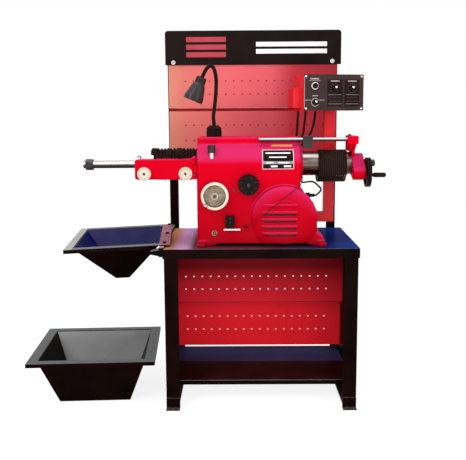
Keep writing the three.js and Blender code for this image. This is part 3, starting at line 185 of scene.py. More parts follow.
def surface(name, dark, light, roughness, grain, bump, slot, drift=90, spread=0.06,
            stretch=(1, 1, 1), faces=(), gleam=0.5, ior=1.5, metallic=0):
    """A finish whose colour drifts between two tones and whose grain, in mm, changes gloss and relief."""
    material, tree = blank_material(name)
    place = add(tree, "ShaderNodeTexCoord").outputs["Object"]
    stretched = add(tree, "ShaderNodeMapping", {"Vector": place, "Scale": stretch}).outputs[0]
    slow = add(tree, "ShaderNodeTexNoise", {"Vector": place, "Scale": per_mm(drift), "Detail": 2.0})
    fine = add(tree, "ShaderNodeTexNoise", {"Vector": stretched, "Scale": per_mm(grain), "Detail": 3.0})
    ramp = add(tree, "ShaderNodeValToRGB", {"Fac": slow.outputs["Fac"]})
    ramp.color_ramp.elements[0].position = 0.35
    ramp.color_ramp.elements[0].color = linear(dark)
    ramp.color_ramp.elements[1].position = 0.65
    ramp.color_ramp.elements[1].color = linear(light)
    colour = ramp.outputs["Color"]
    for low, high, other in faces:
        colour = facing(tree, low, high, colour, other)
    gloss = add(tree, "ShaderNodeMapRange", {
        "Value": fine.outputs["Fac"], "To Min": roughness - spread, "To Max": roughness + spread,
    })
    relief = add(tree, "ShaderNodeBump", {
        "Height": fine.outputs["Fac"], "Strength": 1.0, "Distance": bump * MM,
    })
    skin = add(tree, "ShaderNodeBsdfPrincipled", {
        "Base Color": colour, "Roughness": gloss.outputs["Result"], "Normal": relief.outputs["Normal"],
        "Specular IOR Level": gleam, "IOR": ior, "Metallic": metallic,
    })
    add(tree, "ShaderNodeOutputMaterial", {"Surface": skin.outputs[0]})
    return material


# %% [markdown]
# Some surfaces are paler at one end than at the other, because painted glare, shade and reflections
# change along them. A vertex colour could do that, but it would need many vertices. Here the place on
# the machine picks the colour from the ramp that the finish has.

# %% A tone that changes along the machine
def across(material, stops, axis="X"):
    """Lets a place along an axis choose the tone instead of the drift. Stops are [bench mm, hex colour]."""
    tree = material.node_tree
    spots = [at(v, v, v)["XYZ".index(axis)] for v, code in stops]
    place = add(tree, "ShaderNodeTexCoord").outputs["Object"]
    along = add(tree, "ShaderNodeSeparateXYZ", {0: place}).outputs[axis]
    share = add(tree, "ShaderNodeMapRange", {"Value": along, "From Min": spots[0], "From Max": spots[-1]})
    ramp_node = next(n for n in tree.nodes if n.type == "VALTORGB")
    tree.links.new(share.outputs["Result"], ramp_node.inputs["Fac"])
    ramp = ramp_node.color_ramp
    ramp.elements[0].position = 0
    ramp.elements[1].position = 1
    while len(ramp.elements) < len(stops):
        ramp.elements.new(0.5)
    for element, spot, (v, code) in zip(ramp.elements, spots, stops):
        element.position = (spot - spots[0]) / (spots[-1] - spots[0])
        element.color = linear(code)
    return material


# %% [markdown]
# The casting and its covers wear crimson enamel over iron: deep colour and a faint orange peel. A cool
# magenta tone where a face looks up is a painted reflection of the light from above, and the colour
# darkens towards the bench as painted shade, the lowest part most. Full gloss would mirror the white
# studio and wash so dark a paint out, so its reflections are held low.

# %% Crimson enamel
crimson = surface(
    "crimson_enamel_on_cast_iron", "#BC0016", "#CA001C", 0.34, 2.5, 0.05, "crimson_enamel",
    faces=[(0.0, 0.42, "#BE2458"), (0.85, 1.0, "#C8102C")], gleam=0.1, ior=1.15)
across(crimson, [
    (591, "#9C0011"), (680, "#AA0014"), (760, "#B40017"), (850, "#C2001A"), (981, "#CA001C"),
], "Z")
crimson_in_painted_shade = surface(
    "crimson_enamel_in_painted_shade", "#8C0814", "#980C18", 0.4, 2.5, 0.05, "crimson_enamel", gleam=0.1, ior=1.15)
print("crimson finishes:", crimson.name, crimson_in_painted_shade.name)

# %% [markdown]
# The boards, the panels and the control box are satin powder coat: a finer grain than enamel and less
# relief. The boards carry painted glare, paler on their left, and the panels below the bench carry
# painted shade, darkest near the bench. A lamp for each would light the rest as well, so the coat itself
# changes its tone. A darker red is painted shade in the seams and behind the punched holes.

# %% Red powder coat
def powder_red(name, dark, light, roughness, gleam, ior=1.5):
    """Red powder coat in two tones."""
    return surface(name, dark, light, roughness, 1.2, 0.03, "red_powder", gleam=gleam, ior=ior)


board_red_with_painted_glare = powder_red("red_powder_coat_with_painted_glare", "#E0525E", "#E85F6A", 0.4, 0.3)
across(board_red_with_painted_glare, [
    (-361, "#C87C66"), (-300, "#CC6A60"), (-100, "#D45A60"), (60, "#CC4E58"), (150, "#B02434"),
    (330, "#940E1A"),
])
red_powder = powder_red("red_powder_coat_on_sheet_steel", "#C2141E", "#D01C28", 0.4, 0.15)
deep_red = powder_red("red_powder_coat_in_the_shade_of_the_bench", "#E41E2C", "#F42634", 0.42, 0.1, 1.2)
across(deep_red, [
    (150, "#FF2430"), (240, "#FA2432"), (314, "#E42232"), (390, "#CE202E"), (430, "#B01824"),
    (460, "#7C0C16"),
], "Z")
seam_shade_red = powder_red("red_powder_coat_as_painted_seam_shade", "#8A0E1C", "#981222", 0.5, 0.1)
print("powder coats done")

# %% [markdown]
# The bench, the hopper and the bin are black enamel. It mirrors what stands round it: level faces look
# bluish, the bench top has warm tints on its left, and folded edges catch the light. A white studio has
# none of this to mirror, so these are painted reflections and painted highlights: each kind of face has
# its own tone of the enamel, with its gloss held low. The tops of the feet get a brown painted
# highlight, and some level flanges and the bin's inner wall a pale painted light.

# %% Black enamel
def enamel(name, dark, light, roughness=0.3, grain=3.0, **look):
    """Black enamel on sheet steel in two tones."""
    return surface(name, dark, light, roughness, grain, 0.02, "black_enamel", **look)


black_enamel = enamel(
    "black_enamel_on_sheet_steel", "#0C0504", "#140806", spread=0.04, gleam=0.06, ior=1.15)
bench_reflection_enamel = enamel(
    "black_enamel_with_painted_reflections_on_the_bench_top", "#14161C", "#1A1C24", 0.25, gleam=0.06, ior=1.03)
across(bench_reflection_enamel, [
    (-350, "#D08C5C"), (-322, "#AC7458"), (-290, "#C08CB8"), (-262, "#B488B4"), (-240, "#6C2C3C"),
    (60, "#501830"), (225, "#1A2058"), (350, "#123080"),
])
shelf_red_reflection = enamel("black_enamel_of_the_shelf", "#2C0E0C", "#341412", gleam=0.06, ior=1.06)
shelf_blue_reflection = enamel(
    "black_enamel_with_painted_blue_reflection_under_the_panels", "#3C3868", "#443C6C", gleam=0.06, ior=1.06)
foot_top_highlight = surface(
    "black_enamel_with_painted_highlight_on_the_feet", "#4A3A36", "#5C4A44", 0.5, 3.0, 0.05, "black_enamel", drift=12, gleam=0.1)
edge_highlight_grey = enamel("black_enamel_with_painted_highlight_on_an_edge", "#77777A", "#8E8E92", 0.35, 2.0)
flange_grey = enamel("black_enamel_with_painted_reflection_on_a_level_flange", "#8E8E88", "#989892", 0.35, 2.0, gleam=0.12)
rim_painted_light_grey = enamel("black_enamel_with_painted_light_on_a_flange", "#3E4040", "#484A4A", 0.35, 2.0, gleam=0.12)
flange_mauve_reflection = enamel(
    "black_enamel_on_the_flange_by_the_bench", "#946474", "#A47080", 0.35, 2.0, gleam=0.06, ior=1.05)
hopper_blue_reflection = enamel("black_enamel_with_painted_blue_reflection_inside_the_hopper", "#2A284E", "#323056", gleam=0.06, ior=1.05)
hopper_wall_reflection_and_shade = enamel(
    "black_enamel_on_the_hopper_wall_by_the_edge", "#0C1044", "#121858", gleam=0.06, ior=1.05)
bin_wall_painted_light = enamel("black_enamel_with_painted_light_inside_the_bin", "#949494", "#9C9C9C", 0.35, gleam=0.12)
sign_black = enamel("satin_black_sign_board", "#120808", "#1A0E0C", 0.4, 1.5, gleam=0.06)
print("enamels done")

# %% [markdown]
# Bare metal keeps its machining marks. Turned steel has fine rings round its axis, so its grain is six
# times finer along that axis: a stretched noise needs no unwrapping, as a picture would. The quill has
# a darker, pinkish tone: a painted reflection of the red boards beside it. Chrome is smoother and
# brighter, and black oxide is darker and drier. Where they look up or down, these metals get lighter or
# darker tones, painted reflections of what lies above and below them, and the machined edge turns
# crimson where it looks down, a painted reflection of the red casting.

# %% Metals
polished_steel = surface(
    "turned_and_ground_steel", "#B9BBBE", "#D2D3D6", 0.28, 1.4, 0.015, "polished_steel", stretch=(6, 1, 1),
    faces=[(0.5, 0.95, "#8E8880"), (0.3, -0.05, "#4A3C32"), (-0.75, -1.0, "#857A6E")], metallic=1)
quill_steel = surface(
    "ground_steel_with_painted_reflection_of_red_boards", "#8E8282", "#A29696", 0.28, 1.4, 0.015, "polished_steel",
    stretch=(6, 1, 1), faces=[(0.5, 0.95, "#6E6662"), (0.3, -0.05, "#4A3C32"), (-0.75, -1.0, "#857A6E")],
    metallic=1)
chrome = surface(
    "chrome_plate", "#D2D3D6", "#E4E5E8", 0.14, 4.0, 0.004, "chrome", spread=0.03,
    faces=[(-0.2, -0.7, "#6A6660")], metallic=1)
blackened_steel = surface(
    "black_oxide_steel", "#1A1616", "#262222", 0.42, 1.5, 0.02, "blackened_steel",
    faces=[(0.3, 0.9, "#4A4646")], gleam=0.3)
pale_aluminium = surface(
    "cast_and_turned_aluminium", "#BDAE9A", "#CEC2B0", 0.4, 1.8, 0.03, "pale_aluminium",
    stretch=(1, 3, 1), metallic=0.1)
# The darker aluminium is painted shade in the handwheel's recess.
brown_aluminium = surface(
    "dark_turned_aluminium_with_painted_shade_in_the_recess", "#665640", "#94826A", 0.4, 1.8, 0.03, "pale_aluminium",
    drift=14, metallic=0.1)
# The drive motor is seen only through the cover's slots, so this iron is darkened almost to black as painted
# shade.
grey_iron = surface(
    "grey_painted_cast_iron", "#2A2426", "#383234", 0.6, 2.5, 0.08, "grey_iron", gleam=0.2)
brass = surface(
    "etched_brass_strip", "#E8A050", "#F4B868", 0.4, 1.2, 0.01, "pale_aluminium", metallic=0.1)
machined_iron = surface(
    "machined_edge_of_the_casting", "#E0B4C0", "#F0D0D4", 0.4, 1.4, 0.02, "polished_steel",
    faces=[(0.1, -0.5, "#B01828")], metallic=0.1)
print("metals done")

# %% [markdown]
# Rubber and plastic are not metals: they only reflect a little, and their colour is in the body. The
# same recipe serves, with more relief for moulded rubber and almost none for printed marks.

# %% Rubber, plastic and paint marks
black_rubber = surface(
    "matt_black_rubber", "#1A110E", "#2A1E19", 0.6, 0.9, 0.05, "black_rubber", gleam=0.12, ior=1.25)
black_plastic = surface(
    "moulded_black_plastic", "#150C0A", "#1F1412", 0.4, 1.0, 0.02, "black_plastic", gleam=0.12, ior=1.25)
knurled_black = surface(
    "knurled_black_grip", "#2A1E1C", "#3A2C28", 0.5, 0.8, 0.2, "black_plastic", gleam=0.25)
panel_black = surface(
    "brown_black_panel_film", "#2A1C1C", "#362626", 0.45, 1.0, 0.02, "black_plastic", gleam=0.1)
# The lamp shade's faces that look up get a paler tone: a painted reflection of the sky.
lamp_black = surface(
    "black_lamp_shade_plastic", "#241C1E", "#2E2426", 0.35, 1.0, 0.02, "black_enamel",
    faces=[(0.2, 0.7, "#3C363E")], gleam=0.2)
white_plastic = surface(
    "moulded_white_plastic", "#D4C4C6", "#E0D2D2", 0.4, 1.0, 0.02, "pale_aluminium")
# The lens is drawn opaque: its blotchy grey tones are painted reflections in the clear plastic.
lens_clear = surface(
    "moulded_clear_lens_with_painted_reflections", "#7C786C", "#C8C4B4", 0.2, 1.0, 0.05, "pale_aluminium", drift=6)
white_ink = surface(
    "white_screen_print", "#D8D8D8", "#F0F0F0", 0.5, 1.0, 0.005, "pale_aluminium")
red_ink = surface("red_screen_print", "#9A1E2C", "#A82636", 0.45, 1.0, 0.005, "red_powder")
grey_ink = surface("grey_screen_print", "#8A7C7E", "#A29496", 0.5, 1.0, 0.005, "pale_aluminium")
print("materials:", len(bpy.data.materials))

# %% [markdown]
# Shapes are built in bmesh, in local millimetres, and only the finished mesh is moved into the frame.
# Moving objects would be easier, but a pattern on Object coordinates would slide in the export. So
# every object stays at the origin, unturned.

# %% Shape helpers
AXES = {
    "x": Matrix(((0, 0, 1, 0), (1, 0, 0, 0), (0, 1, 0, 0), (0, 0, 0, 1))),
    "y": Matrix(((0, 1, 0, 0), (0, 0, 1, 0), (1, 0, 0, 0), (0, 0, 0, 1))),
    "z": Matrix.Identity(4),
}


def box(x0, x1, y0, y1, z0, z1):
    """A block between six planes."""
    bm = bmesh.new()
    size = Matrix.Diagonal((abs(x1 - x0), abs(y1 - y0), abs(z1 - z0), 1))
    middle = Matrix.Translation(((x0 + x1) / 2, (y0 + y1) / 2, (z0 + z1) / 2))
    bmesh.ops.create_cube(bm, size=1, matrix=middle @ size)
    return bm


def lathe(profile, axis="z", centre=(0, 0, 0), sides=64):
    """A closed list of [radius, place along the axis] turned into a solid."""
    bm = bmesh.new()
    turns = [k * math.tau / sides for k in range(sides)]
    rings = []
    for radius, place in profile:
        if radius <= 0:
            rings.append([bm.verts.new((0, 0, place))])
            continue
        rings.append([
            bm.verts.new((radius * math.cos(turn), radius * math.sin(turn), place)) for turn in turns
        ])
    closed = profile[0][0] > 0
    pairs = list(zip(rings, rings[1:] + rings[:1])) if closed else list(zip(rings, rings[1:]))
    for low, high in pairs:
        for k in range(sides):
            j = k + 1
            corners = [low[k % len(low)], low[j % len(low)], high[j % len(high)], high[k % len(high)]]
            corners = list(dict.fromkeys(corners))
            if len(corners) > 2:
                bm.faces.new(corners)
    bmesh.ops.recalc_face_normals(bm, faces=bm.faces)
    bmesh.ops.transform(bm, matrix=Matrix.Translation(centre) @ AXES[axis], verts=bm.verts)
    bmesh.ops.recalc_face_normals(bm, faces=bm.faces)
    return bm


def disc(radius, low, high, axis, centre, sides, bore=0):
    """A plain disc between two places along its axis or, with a bore, a washer."""
    return lathe([(bore, low), (radius, low), (radius, high), (bore, high)], axis, centre, sides)


# %% [markdown]
# Flat outlines with a thickness make what a lathe can't, and sharp edges are rounded a little, as they
# are on anything that was folded, cast or filed.

# %% Extrude and soften
def extruded(outline, start, end, axis):
    """A flat outline given a thickness. Points are [y, z] along X, [z, x] along Y and [x, y] along Z."""
    bm = bmesh.new()
    low = [bm.verts.new((u, v, start)) for u, v in outline]
    high = [bm.verts.new((u, v, end)) for u, v in outline]
    bm.faces.new(low[::-1])
    bm.faces.new(high)
    for k in range(len(outline)):
        j = (k + 1) % len(outline)
        bm.faces.new((low[k], low[j], high[j], high[k]))
    bmesh.ops.transform(bm, matrix=AXES[axis], verts=bm.verts)
    bmesh.ops.recalc_face_normals(bm, faces=bm.faces)
    return bm


def soften(bm, width, segments=2, angle=35):
    """Rounds every edge that is sharper than the angle."""
    edges = [
        e for e in bm.edges
        if len(e.link_faces) == 2 and e.calc_face_angle(0) > math.radians(angle)
    ]
    bmesh.ops.bevel(
        bm, geom=edges, offset=width, segments=segments, profile=0.5, affect="EDGES", clamp_overlap=True)
    return bm


# %% [markdown]
# Some work is easier with modifiers than in bmesh: booleans, remeshing, weighted normals and node
# trees. A modifier needs an object in the scene, so these helpers put one there, take what its
# modifiers make of it, and remove it again.

# %% Between bmesh and modifiers
def as_mesh(name, bm):
    """Ends a bmesh as a mesh."""
    mesh = bpy.data.meshes.new(name)
    bm.to_mesh(mesh)
    bm.free()
    return mesh


def as_bmesh(mesh):
    """Opens a mesh as a bmesh and removes the mesh."""
    bm = bmesh.new()
    bm.from_mesh(mesh)
    bpy.data.meshes.remove(mesh)
    return bm


def in_scene(name, data):
    """Makes an object and links it to the scene."""
    item = bpy.data.objects.new(name, data)
    bpy.context.scene.collection.objects.link(item)
    return item


def result_of(item, *tools, keep_layers=False):
    """What an object's modifiers make of it, as a mesh. The object and the tools it used are removed."""
    graph = bpy.context.evaluated_depsgraph_get()
    mesh = bpy.data.meshes.new_from_object(
        item.evaluated_get(graph), preserve_all_data_layers=keep_layers, depsgraph=graph)
    for used in (item, *tools):
        bpy.data.objects.remove(used)
    return mesh


def merged(*shapes):
    """Several shapes in one bmesh."""
    whole = bmesh.new()
    for shape in shapes:
        mesh = as_mesh("shape", shape)
        whole.from_mesh(mesh)
        bpy.data.meshes.remove(mesh)
    return whole


# %% [markdown]
# Every piece ends the same way: the shape goes into the frame, gets its finish and its shading, and is
# hung on the body that carries it, while the CAD solids it stands for are hidden. One function does it,
# so that no piece misses a step.

# %% Finish a piece
def finish_mesh(mesh, material, angle=35):
    mesh.materials.clear()
    mesh.materials.append(material)
    mesh.shade_smooth()
    mesh.set_sharp_from_angle(angle=math.radians(angle))


def settled(mesh, name):
    """Lets large faces lead the shading, so that flat sheet stays flat beside its rounded edges."""
    item = in_scene("settled", mesh)
    modifier = item.modifiers.new("weigh", "WEIGHTED_NORMAL")
    modifier.keep_sharp = True
    result = result_of(item, keep_layers=True)
    bpy.data.meshes.remove(mesh)
    result.name = name
    return result


def piece(name, bm, material, body="machine", place=BENCH, nodes=(), angle=35):
    """Makes the object from a shape in local millimetres and rides it on its body."""
    bmesh.ops.transform(bm, matrix=place, verts=bm.verts)
    mesh = as_mesh(name, bm)
    finish_mesh(mesh, material, angle)
    item = in_scene(name, settled(mesh, name))
    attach(item, body)
    if nodes:
        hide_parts(*nodes)
    return item


# %% [markdown]
# Many pieces only need the CAD solid with its edges rounded, because a sharp edge never catches the
# light. They could be drawn again, but a copy can't miss its place. Painted areas are chosen by place
# and direction, as a painter masks them with tape.

# %% Rounded copies and painted areas
JOINED_CORNERS = 0.02 * MM


def paint(item, material, test):
    """Gives another finish to faces whose middle, in bench millimetres, and direction pass a test."""
    item.data.materials.append(material)
    number = len(item.data.materials) - 1
    to_bench = BENCH.inverted()
    for face in item.data.polygons:
        if test(to_bench @ face.center, face.normal):
            face.material_index = number


def body_of_node(name):
    return frame["nodes"][name]["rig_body"]


def copy_of(node):
    """A CAD solid as a bmesh, with the corners of its loose triangles joined."""
    bm = bmesh.new()
    bm.from_mesh(frame["nodes"][node].data)
    bmesh.ops.remove_doubles(bm, verts=bm.verts, dist=JOINED_CORNERS)
    return bm


def split(bm, place, direction, clear=False):
    """Cuts all faces along a plane and, when asked, clears what lies beyond it."""
    everything = list(bm.verts) + list(bm.edges) + list(bm.faces)
    bmesh.ops.bisect_plane(bm, geom=everything, plane_co=place, plane_no=direction, clear_outer=clear)


def dressed(node, material, width, segments=2, angle=35, cuts=(), top=None):
    """A copy of a CAD solid, with its triangles joined and its sharp edges rounded, in its place.

    Each cut is a place in the frame and a direction: faces are split there, so that each half can be
    painted. A top, in bench millimetres, leaves out all that stands above it.
    """
    bm = copy_of(node)
    if top:
        split(bm, at(0, 0, top), (0, 0, 1), clear=True)
        bmesh.ops.holes_fill(bm, edges=[e for e in bm.edges if e.is_boundary])
    bmesh.ops.dissolve_limit(bm, angle_limit=math.radians(0.3), verts=bm.verts, edges=bm.edges)
    soften(bm, width * MM, segments, angle)
    if cuts:
        bmesh.ops.triangulate(bm, faces=bm.faces)
    for place, direction in cuts:
        split(bm, place, direction)
    return piece(node + "_finish", bm, material, body_of_node(node), Matrix.Identity(4), [node])


# %% [markdown]
# A cord or a lead bends softly through the places that hold it. A Bezier curve could draw it, but this
# one needs no handles: it passes through typed points and doesn't loop where they lie close together.

# %% A smooth curve through points
def through(points, steps=6):
    """A smooth centripetal curve through the points, as many short chords."""
    path = [Vector(p) for p in points]
    path = [2 * path[0] - path[1]] + path + [2 * path[-1] - path[-2]]
    result = []
    for a, b, c, d in zip(path, path[1:], path[2:], path[3:]):
        t1 = math.sqrt((b - a).length)
        t2 = t1 + math.sqrt((c - b).length)
        t3 = t2 + math.sqrt((d - c).length)
        for k in range(steps):
            t = t1 + (t2 - t1) * k / steps
            ab = a * (t1 - t) / t1 + b * t / t1
            bc = b * (t2 - t) / (t2 - t1) + c * (t - t1) / (t2 - t1)
            cd = c * (t3 - t) / (t3 - t2) + d * (t - t2) / (t3 - t2)
            abc = ab * (t2 - t) / t2 + bc * t / t2
            bcd = bc * (t3 - t) / (t3 - t1) + cd * (t - t1) / (t3 - t1)
            result.append(abc * (t2 - t) / (t2 - t1) + bcd * (t - t1) / (t2 - t1))
    return result + [path[-2]]


def length_of(points):
    return sum((b - a).length for a, b in zip(points, points[1:]))


# %% [markdown]
# The power cord leaves a gland on the right flank of the casting, hangs in a loop beside it, runs up
# behind and is wound round the sliding quill. Its tail hangs down behind the quill with the plug. A
# drawn curve could follow all of it, but a winding is even, so it is a helix that is worked out, and
# only the stretches before and after it go through listed points.

# %% Power cord route
CORD_DIAMETER = 6.5
AXIS_Y = 200
AXIS_Z = 880
WINDING_RADIUS = 57.55
WINDING_HANG = 9
WINDING_LEFT = 216.25
WINDING_RIGHT = 318.75
WINDING_TURNS = 15
WINDING_STEPS = 24
ARRIVE_ANGLE = -35
LEAVE_ANGLE = 50

lead_in = [
    (200.3, 130, 767), (203.25, 130, 767), (213, 128, 774), (224, 138, 786), (216, 180, 800), (204, 230, 808),
    (190, 280, 804), (172, 335, 798), (168, 378, 812), (180, 385, 845), (196, 340, 868), (206, 300, 874),
    (211, 275, 866),
]
lead_out = [
    (323, 258, 902), (322, 275, 893), (318, 292, 884), (304, 322, 876), (288, 345, 845), (279, 347, 800),
    (278, 346, 760.3),
]


def winding():
    """The helix round the quill, from one end of the winding to the other."""
    sweep = WINDING_TURNS * 360 + ARRIVE_ANGLE - LEAVE_ANGLE
    count = WINDING_TURNS * WINDING_STEPS
    points = []
    for k in range(count + 1):
        angle = math.radians(ARRIVE_ANGLE - sweep * k / count)
        points.append((
            WINDING_LEFT + (WINDING_RIGHT - WINDING_LEFT) * k / count,
            AXIS_Y + WINDING_RADIUS * math.cos(angle),
            AXIS_Z - WINDING_HANG + WINDING_RADIUS * math.sin(angle),
        ))
    return points


wound = [lead_in[-1]] + winding() + [lead_out[0]]
cord_line = through(lead_in)[:-1] + through(wound, 1)[:-1] + through(lead_out)
print("cord length:", round(length_of(cord_line)), "mm")

# %% [markdown]
# A tube is swept along such a line. A curve object with a round bevel could do it too, but its rings
# may twist where the line bends, so here each ring's frame is carried on from the last one.

# %% Sweep a tube
def tube(points, radius, sides=12):
    """A closed round tube along a line of points."""
    line = [Vector(p) for p in points]
    bm = bmesh.new()
    rings = []
    side = None
    for k, point in enumerate(line):
        ahead = line[min(k + 1, len(line) - 1)]
        behind = line[max(k - 1, 0)]
        along = (ahead - behind).normalized()
        if side is None:
            side = along.orthogonal().normalized()
        side = (side - along * side.dot(along)).normalized()
        up = along.cross(side)
        turns = [i * math.tau / sides for i in range(sides)]
        rings.append([
            bm.verts.new(point + radius * (side * math.cos(turn) + up * math.sin(turn))) for turn in turns
        ])
    for low, high in zip(rings, rings[1:]):
        for i in range(sides):
            j = (i + 1) % sides
            bm.faces.new((low[i], low[j], high[j], high[i]))
    bm.faces.new(rings[0][::-1])
    bm.faces.new(rings[-1])
    bmesh.ops.recalc_face_normals(bm, faces=bm.faces)
    return bm


# %% [markdown]
# The cord is black rubber with a moulded plug, and it stands for three CAD solids: the lead, the
# winding and the tail.

# %% Power cord
power_cord = piece(
    "power_cord_rubber", tube(cord_line, CORD_DIAMETER / 2), black_rubber,
    nodes=["power_cord", "cord_tail", "cord_coil"])
plug = dressed("power_plug", black_rubber, 2)
dressed("cord_gland", black_plastic, 1)

# %% [markdown]
# Thin leads stay in place: the trip lead crosses the motor cover in front, and three cables drop from
# the control box to a clip on the back of the casting. They use the same curve and tube as the power
# cord, through the same points as in the CAD, so that both models agree.

# %% Thin leads
CABLE_RADIUS = 4.5
TRIP_RADIUS = 1.2
trip_route = [
    (-46, 36, 664), (-30, 33, 674), (0, 29, 697), (45, 27, 735), (90, 29, 771),
    (118, 34, 793), (137, 41, 808), (150, 54, 830), (143.3, 88, 858),
]
cable_routes = [
    [(152, 300, 1073), (150, 303, 1030), (148, 318, 985), (142, 352, 950), (130, 366, 905), (122, 358, 850),
     (121, 354.8, 815)],
    [(181, 300, 1073), (177, 303, 1030), (172, 318, 985), (158, 352, 950), (142, 366, 905), (134, 358, 850),
     (133, 354.8, 815)],
    [(218, 300, 1073), (213, 303, 1030), (200, 318, 985), (176, 352, 950), (154, 366, 905), (146, 358, 850),
     (145, 354.8, 815)],
]
connector = lathe(
    [(0, -62), (3, -62), (4, -60), (4, -50), (3, -49), (3, -46), (0, -44)], "x", (0, 36, 664), 24)
trip_lead = merged(tube(through(trip_route), TRIP_RADIUS, 8), connector)
piece("trip_lead", trip_lead, black_rubber, nodes=["trip_cord"])
cable_clip = soften(box(112, 154, 350.3, 357.1, 815, 831), 1)
cables = merged(cable_clip, *[tube(through(r), CABLE_RADIUS, 12) for r in cable_routes])
piece("control_box_cables", cables, black_rubber, nodes=["control_cables"])
print("thin leads:", [round(length_of(through(r))) for r in [trip_route] + cable_routes], "mm")

# %% [markdown]
# The bench is folded and welded sheet steel, so its edges are only slightly round. It could be drawn
# again, but the CAD solids already have the folds, and a rounded copy of each catches a thin line of
# light on every edge. The CAD's bench top also has a tall fin behind the hopper that the real bench
# doesn't have, and the copy leaves it out.

# %% Bench frame
SHEET_ROUND = 1.2
FOOT_TOP = 50
SHELF_LOW = 70
SHELF_BLUE_FROM = 300
LEDGE_TOP = 606
LEFT_EDGE = -351


def front_edge(low):
    """A test for the rounded front edge of a level sheet above a height, which gets a painted highlight."""
    return lambda c, n: 0.2 < n.z < 0.9 and n.y < -0.2 and c.z > low


for name in ("left_post", "right_post"):
    dressed(name, black_enamel, SHEET_ROUND)
# The tops of the feet get a brown painted highlight.
for name in ("left_frame", "right_frame"):
    leg_frame = dressed(name, black_enamel, SHEET_ROUND)
    paint(leg_frame, foot_top_highlight, lambda c, n: n.z > 0.5 and c.z < FOOT_TOP)
bench = dressed("bench_top", black_enamel, 2.2, top=LEDGE_TOP)
# The bench top gets painted reflections that change from left to right, and its left end and front edge a
# painted highlight.
paint(bench, bench_reflection_enamel, lambda c, n: n.z > 0.6 and c.z > BENCH_HEIGHT - 6)
paint(bench, edge_highlight_grey, lambda c, n: n.z > 0.6 and c.x < LEFT_EDGE)
paint(bench, edge_highlight_grey, front_edge(BENCH_HEIGHT - 4))
# The shelf's top gets painted reflections, dark red at the front and bluish under the panels, and its front
# edge a painted highlight.
shelf_cut = (at(0, SHELF_BLUE_FROM, 0), Vector((0, 1, 0)))
shelf = dressed("bottom_shelf", black_enamel, 2, cuts=[shelf_cut])
paint(shelf, shelf_red_reflection, lambda c, n: n.z > 0.6 and c.z > SHELF_LOW)
paint(shelf, shelf_blue_reflection, lambda c, n: n.z > 0.6 and c.z > SHELF_LOW and c.y > SHELF_BLUE_FROM)
paint(shelf, edge_highlight_grey, front_edge(SHELF_LOW))
dressed("sign_board", sign_black, 1.5)
dressed("control_arm", red_powder, 1.5)
dressed("control_box", red_powder, 1.5)
print("bench dressed:", len(bench.data.polygons), "faces")

# %% [markdown]
# The hopper is black enamel inside and out, and each face gets a painted reflection: the flange by the
# bench has a warm tint, the one at the far end is pale, the other level tops are a paler grey, and the
# inside is bluish, deeper on one wall with painted shade. Its front edges get a painted highlight. The
# hopper stands askew, so its faces are told apart along its own width instead of the bench's.

# %% Chip hopper
HOPPER = turned_place(-531, 262, 599, 3.8)
HOPPER_HALF = 190
OUTER_FOLD = 29 - HOPPER_HALF
INNER_FOLD = HOPPER_HALF - 38
INSIDE_HALF = 162
BELOW_RIM = 598
NEAR_RIM = 588
along_hopper = (HOPPER.to_3x3() @ Vector((1, 0, 0))).normalized()
hopper_cuts = [(HOPPER @ Vector((x, 0, 0)), along_hopper) for x in (OUTER_FOLD, INNER_FOLD)]
hopper = dressed("chip_hopper", black_enamel, 1.6, cuts=hopper_cuts)


def in_hopper(c):
    """Where a place given in bench millimetres lies along the hopper's own width and height."""
    return HOPPER.inverted() @ BENCH @ c


paint(hopper, hopper_blue_reflection, lambda c, n: n.z > 0.05 and abs(in_hopper(c).x) < INSIDE_HALF and c.z < BELOW_RIM)
paint(hopper, hopper_wall_reflection_and_shade, lambda c, n: n.x > 0.3 and n.z > 0.05 and c.z < BELOW_RIM)
paint(hopper, rim_painted_light_grey, lambda c, n: n.z > 0.97)
paint(hopper, flange_grey, lambda c, n: n.z > 0.97 and in_hopper(c).x < OUTER_FOLD)
paint(hopper, flange_mauve_reflection, lambda c, n: n.z > 0.97 and in_hopper(c).x > INNER_FOLD)
paint(hopper, edge_highlight_grey, lambda c, n: 0.15 < n.z < 0.9 and n.y < -0.3 and c.z > NEAR_RIM)
print("hopper dressed:", len(hopper.data.polygons), "faces")

# %% [markdown]
# The chip bin stands on the floor under the hopper, in the same enamel. Its inner back wall and its
# flange are painted paler than the rest as painted light, and its front edges get a painted highlight.

# %% Chip bin
BIN_BACK = 220
BIN_FRONT = 20
BIN_RIM = 160
chip_bin = dressed("chip_bin", black_enamel, 1.6)
paint(chip_bin, bin_wall_painted_light, lambda c, n: n.y < -0.5 and n.z > 0 and c.y > BIN_BACK)
paint(chip_bin, rim_painted_light_grey, lambda c, n: n.z > 0.9 and c.z > BIN_RIM)
paint(chip_bin, edge_highlight_grey, lambda c, n: (
    0.15 < n.z < 0.9 and n.y < -0.3 and c.z > BIN_RIM + 10 and c.y < BIN_FRONT))
print("bin dressed:", len(chip_bin.data.polygons), "faces")

# %% [markdown]
# Three flanged bolts stand on the hopper's flange. The hopper is tilted, so their height is found by
# dropping a plumb line on it: a ray cast does that, where a typed height would be guesswork.

# %% Hopper bolts
ABOVE_HOPPER = 700
BOLT = [(0, 0), (9, 0), (9, 1.2), (6.5, 1.6), (6.5, 5), (4, 6), (0, 6)]


def landing(item, x, y, z):
    """Where a plumb line from a bench place first meets a piece, in bench millimetres."""
    return BENCH.inverted() @ item.ray_cast(at(x, y, z), (0, 0, -1))[1]


flange_bolts = []
for x, y in ((-367, 490), (-356.5, 276), (-348, 74.5)):
    spot = landing(hopper, x, y, ABOVE_HOPPER)
    flange_bolts.append(lathe(BOLT, "z", spot, 6))
piece("hopper_flange_bolts", merged(*flange_bolts), black_enamel)
print("hopper bolts:", len(flange_bolts))

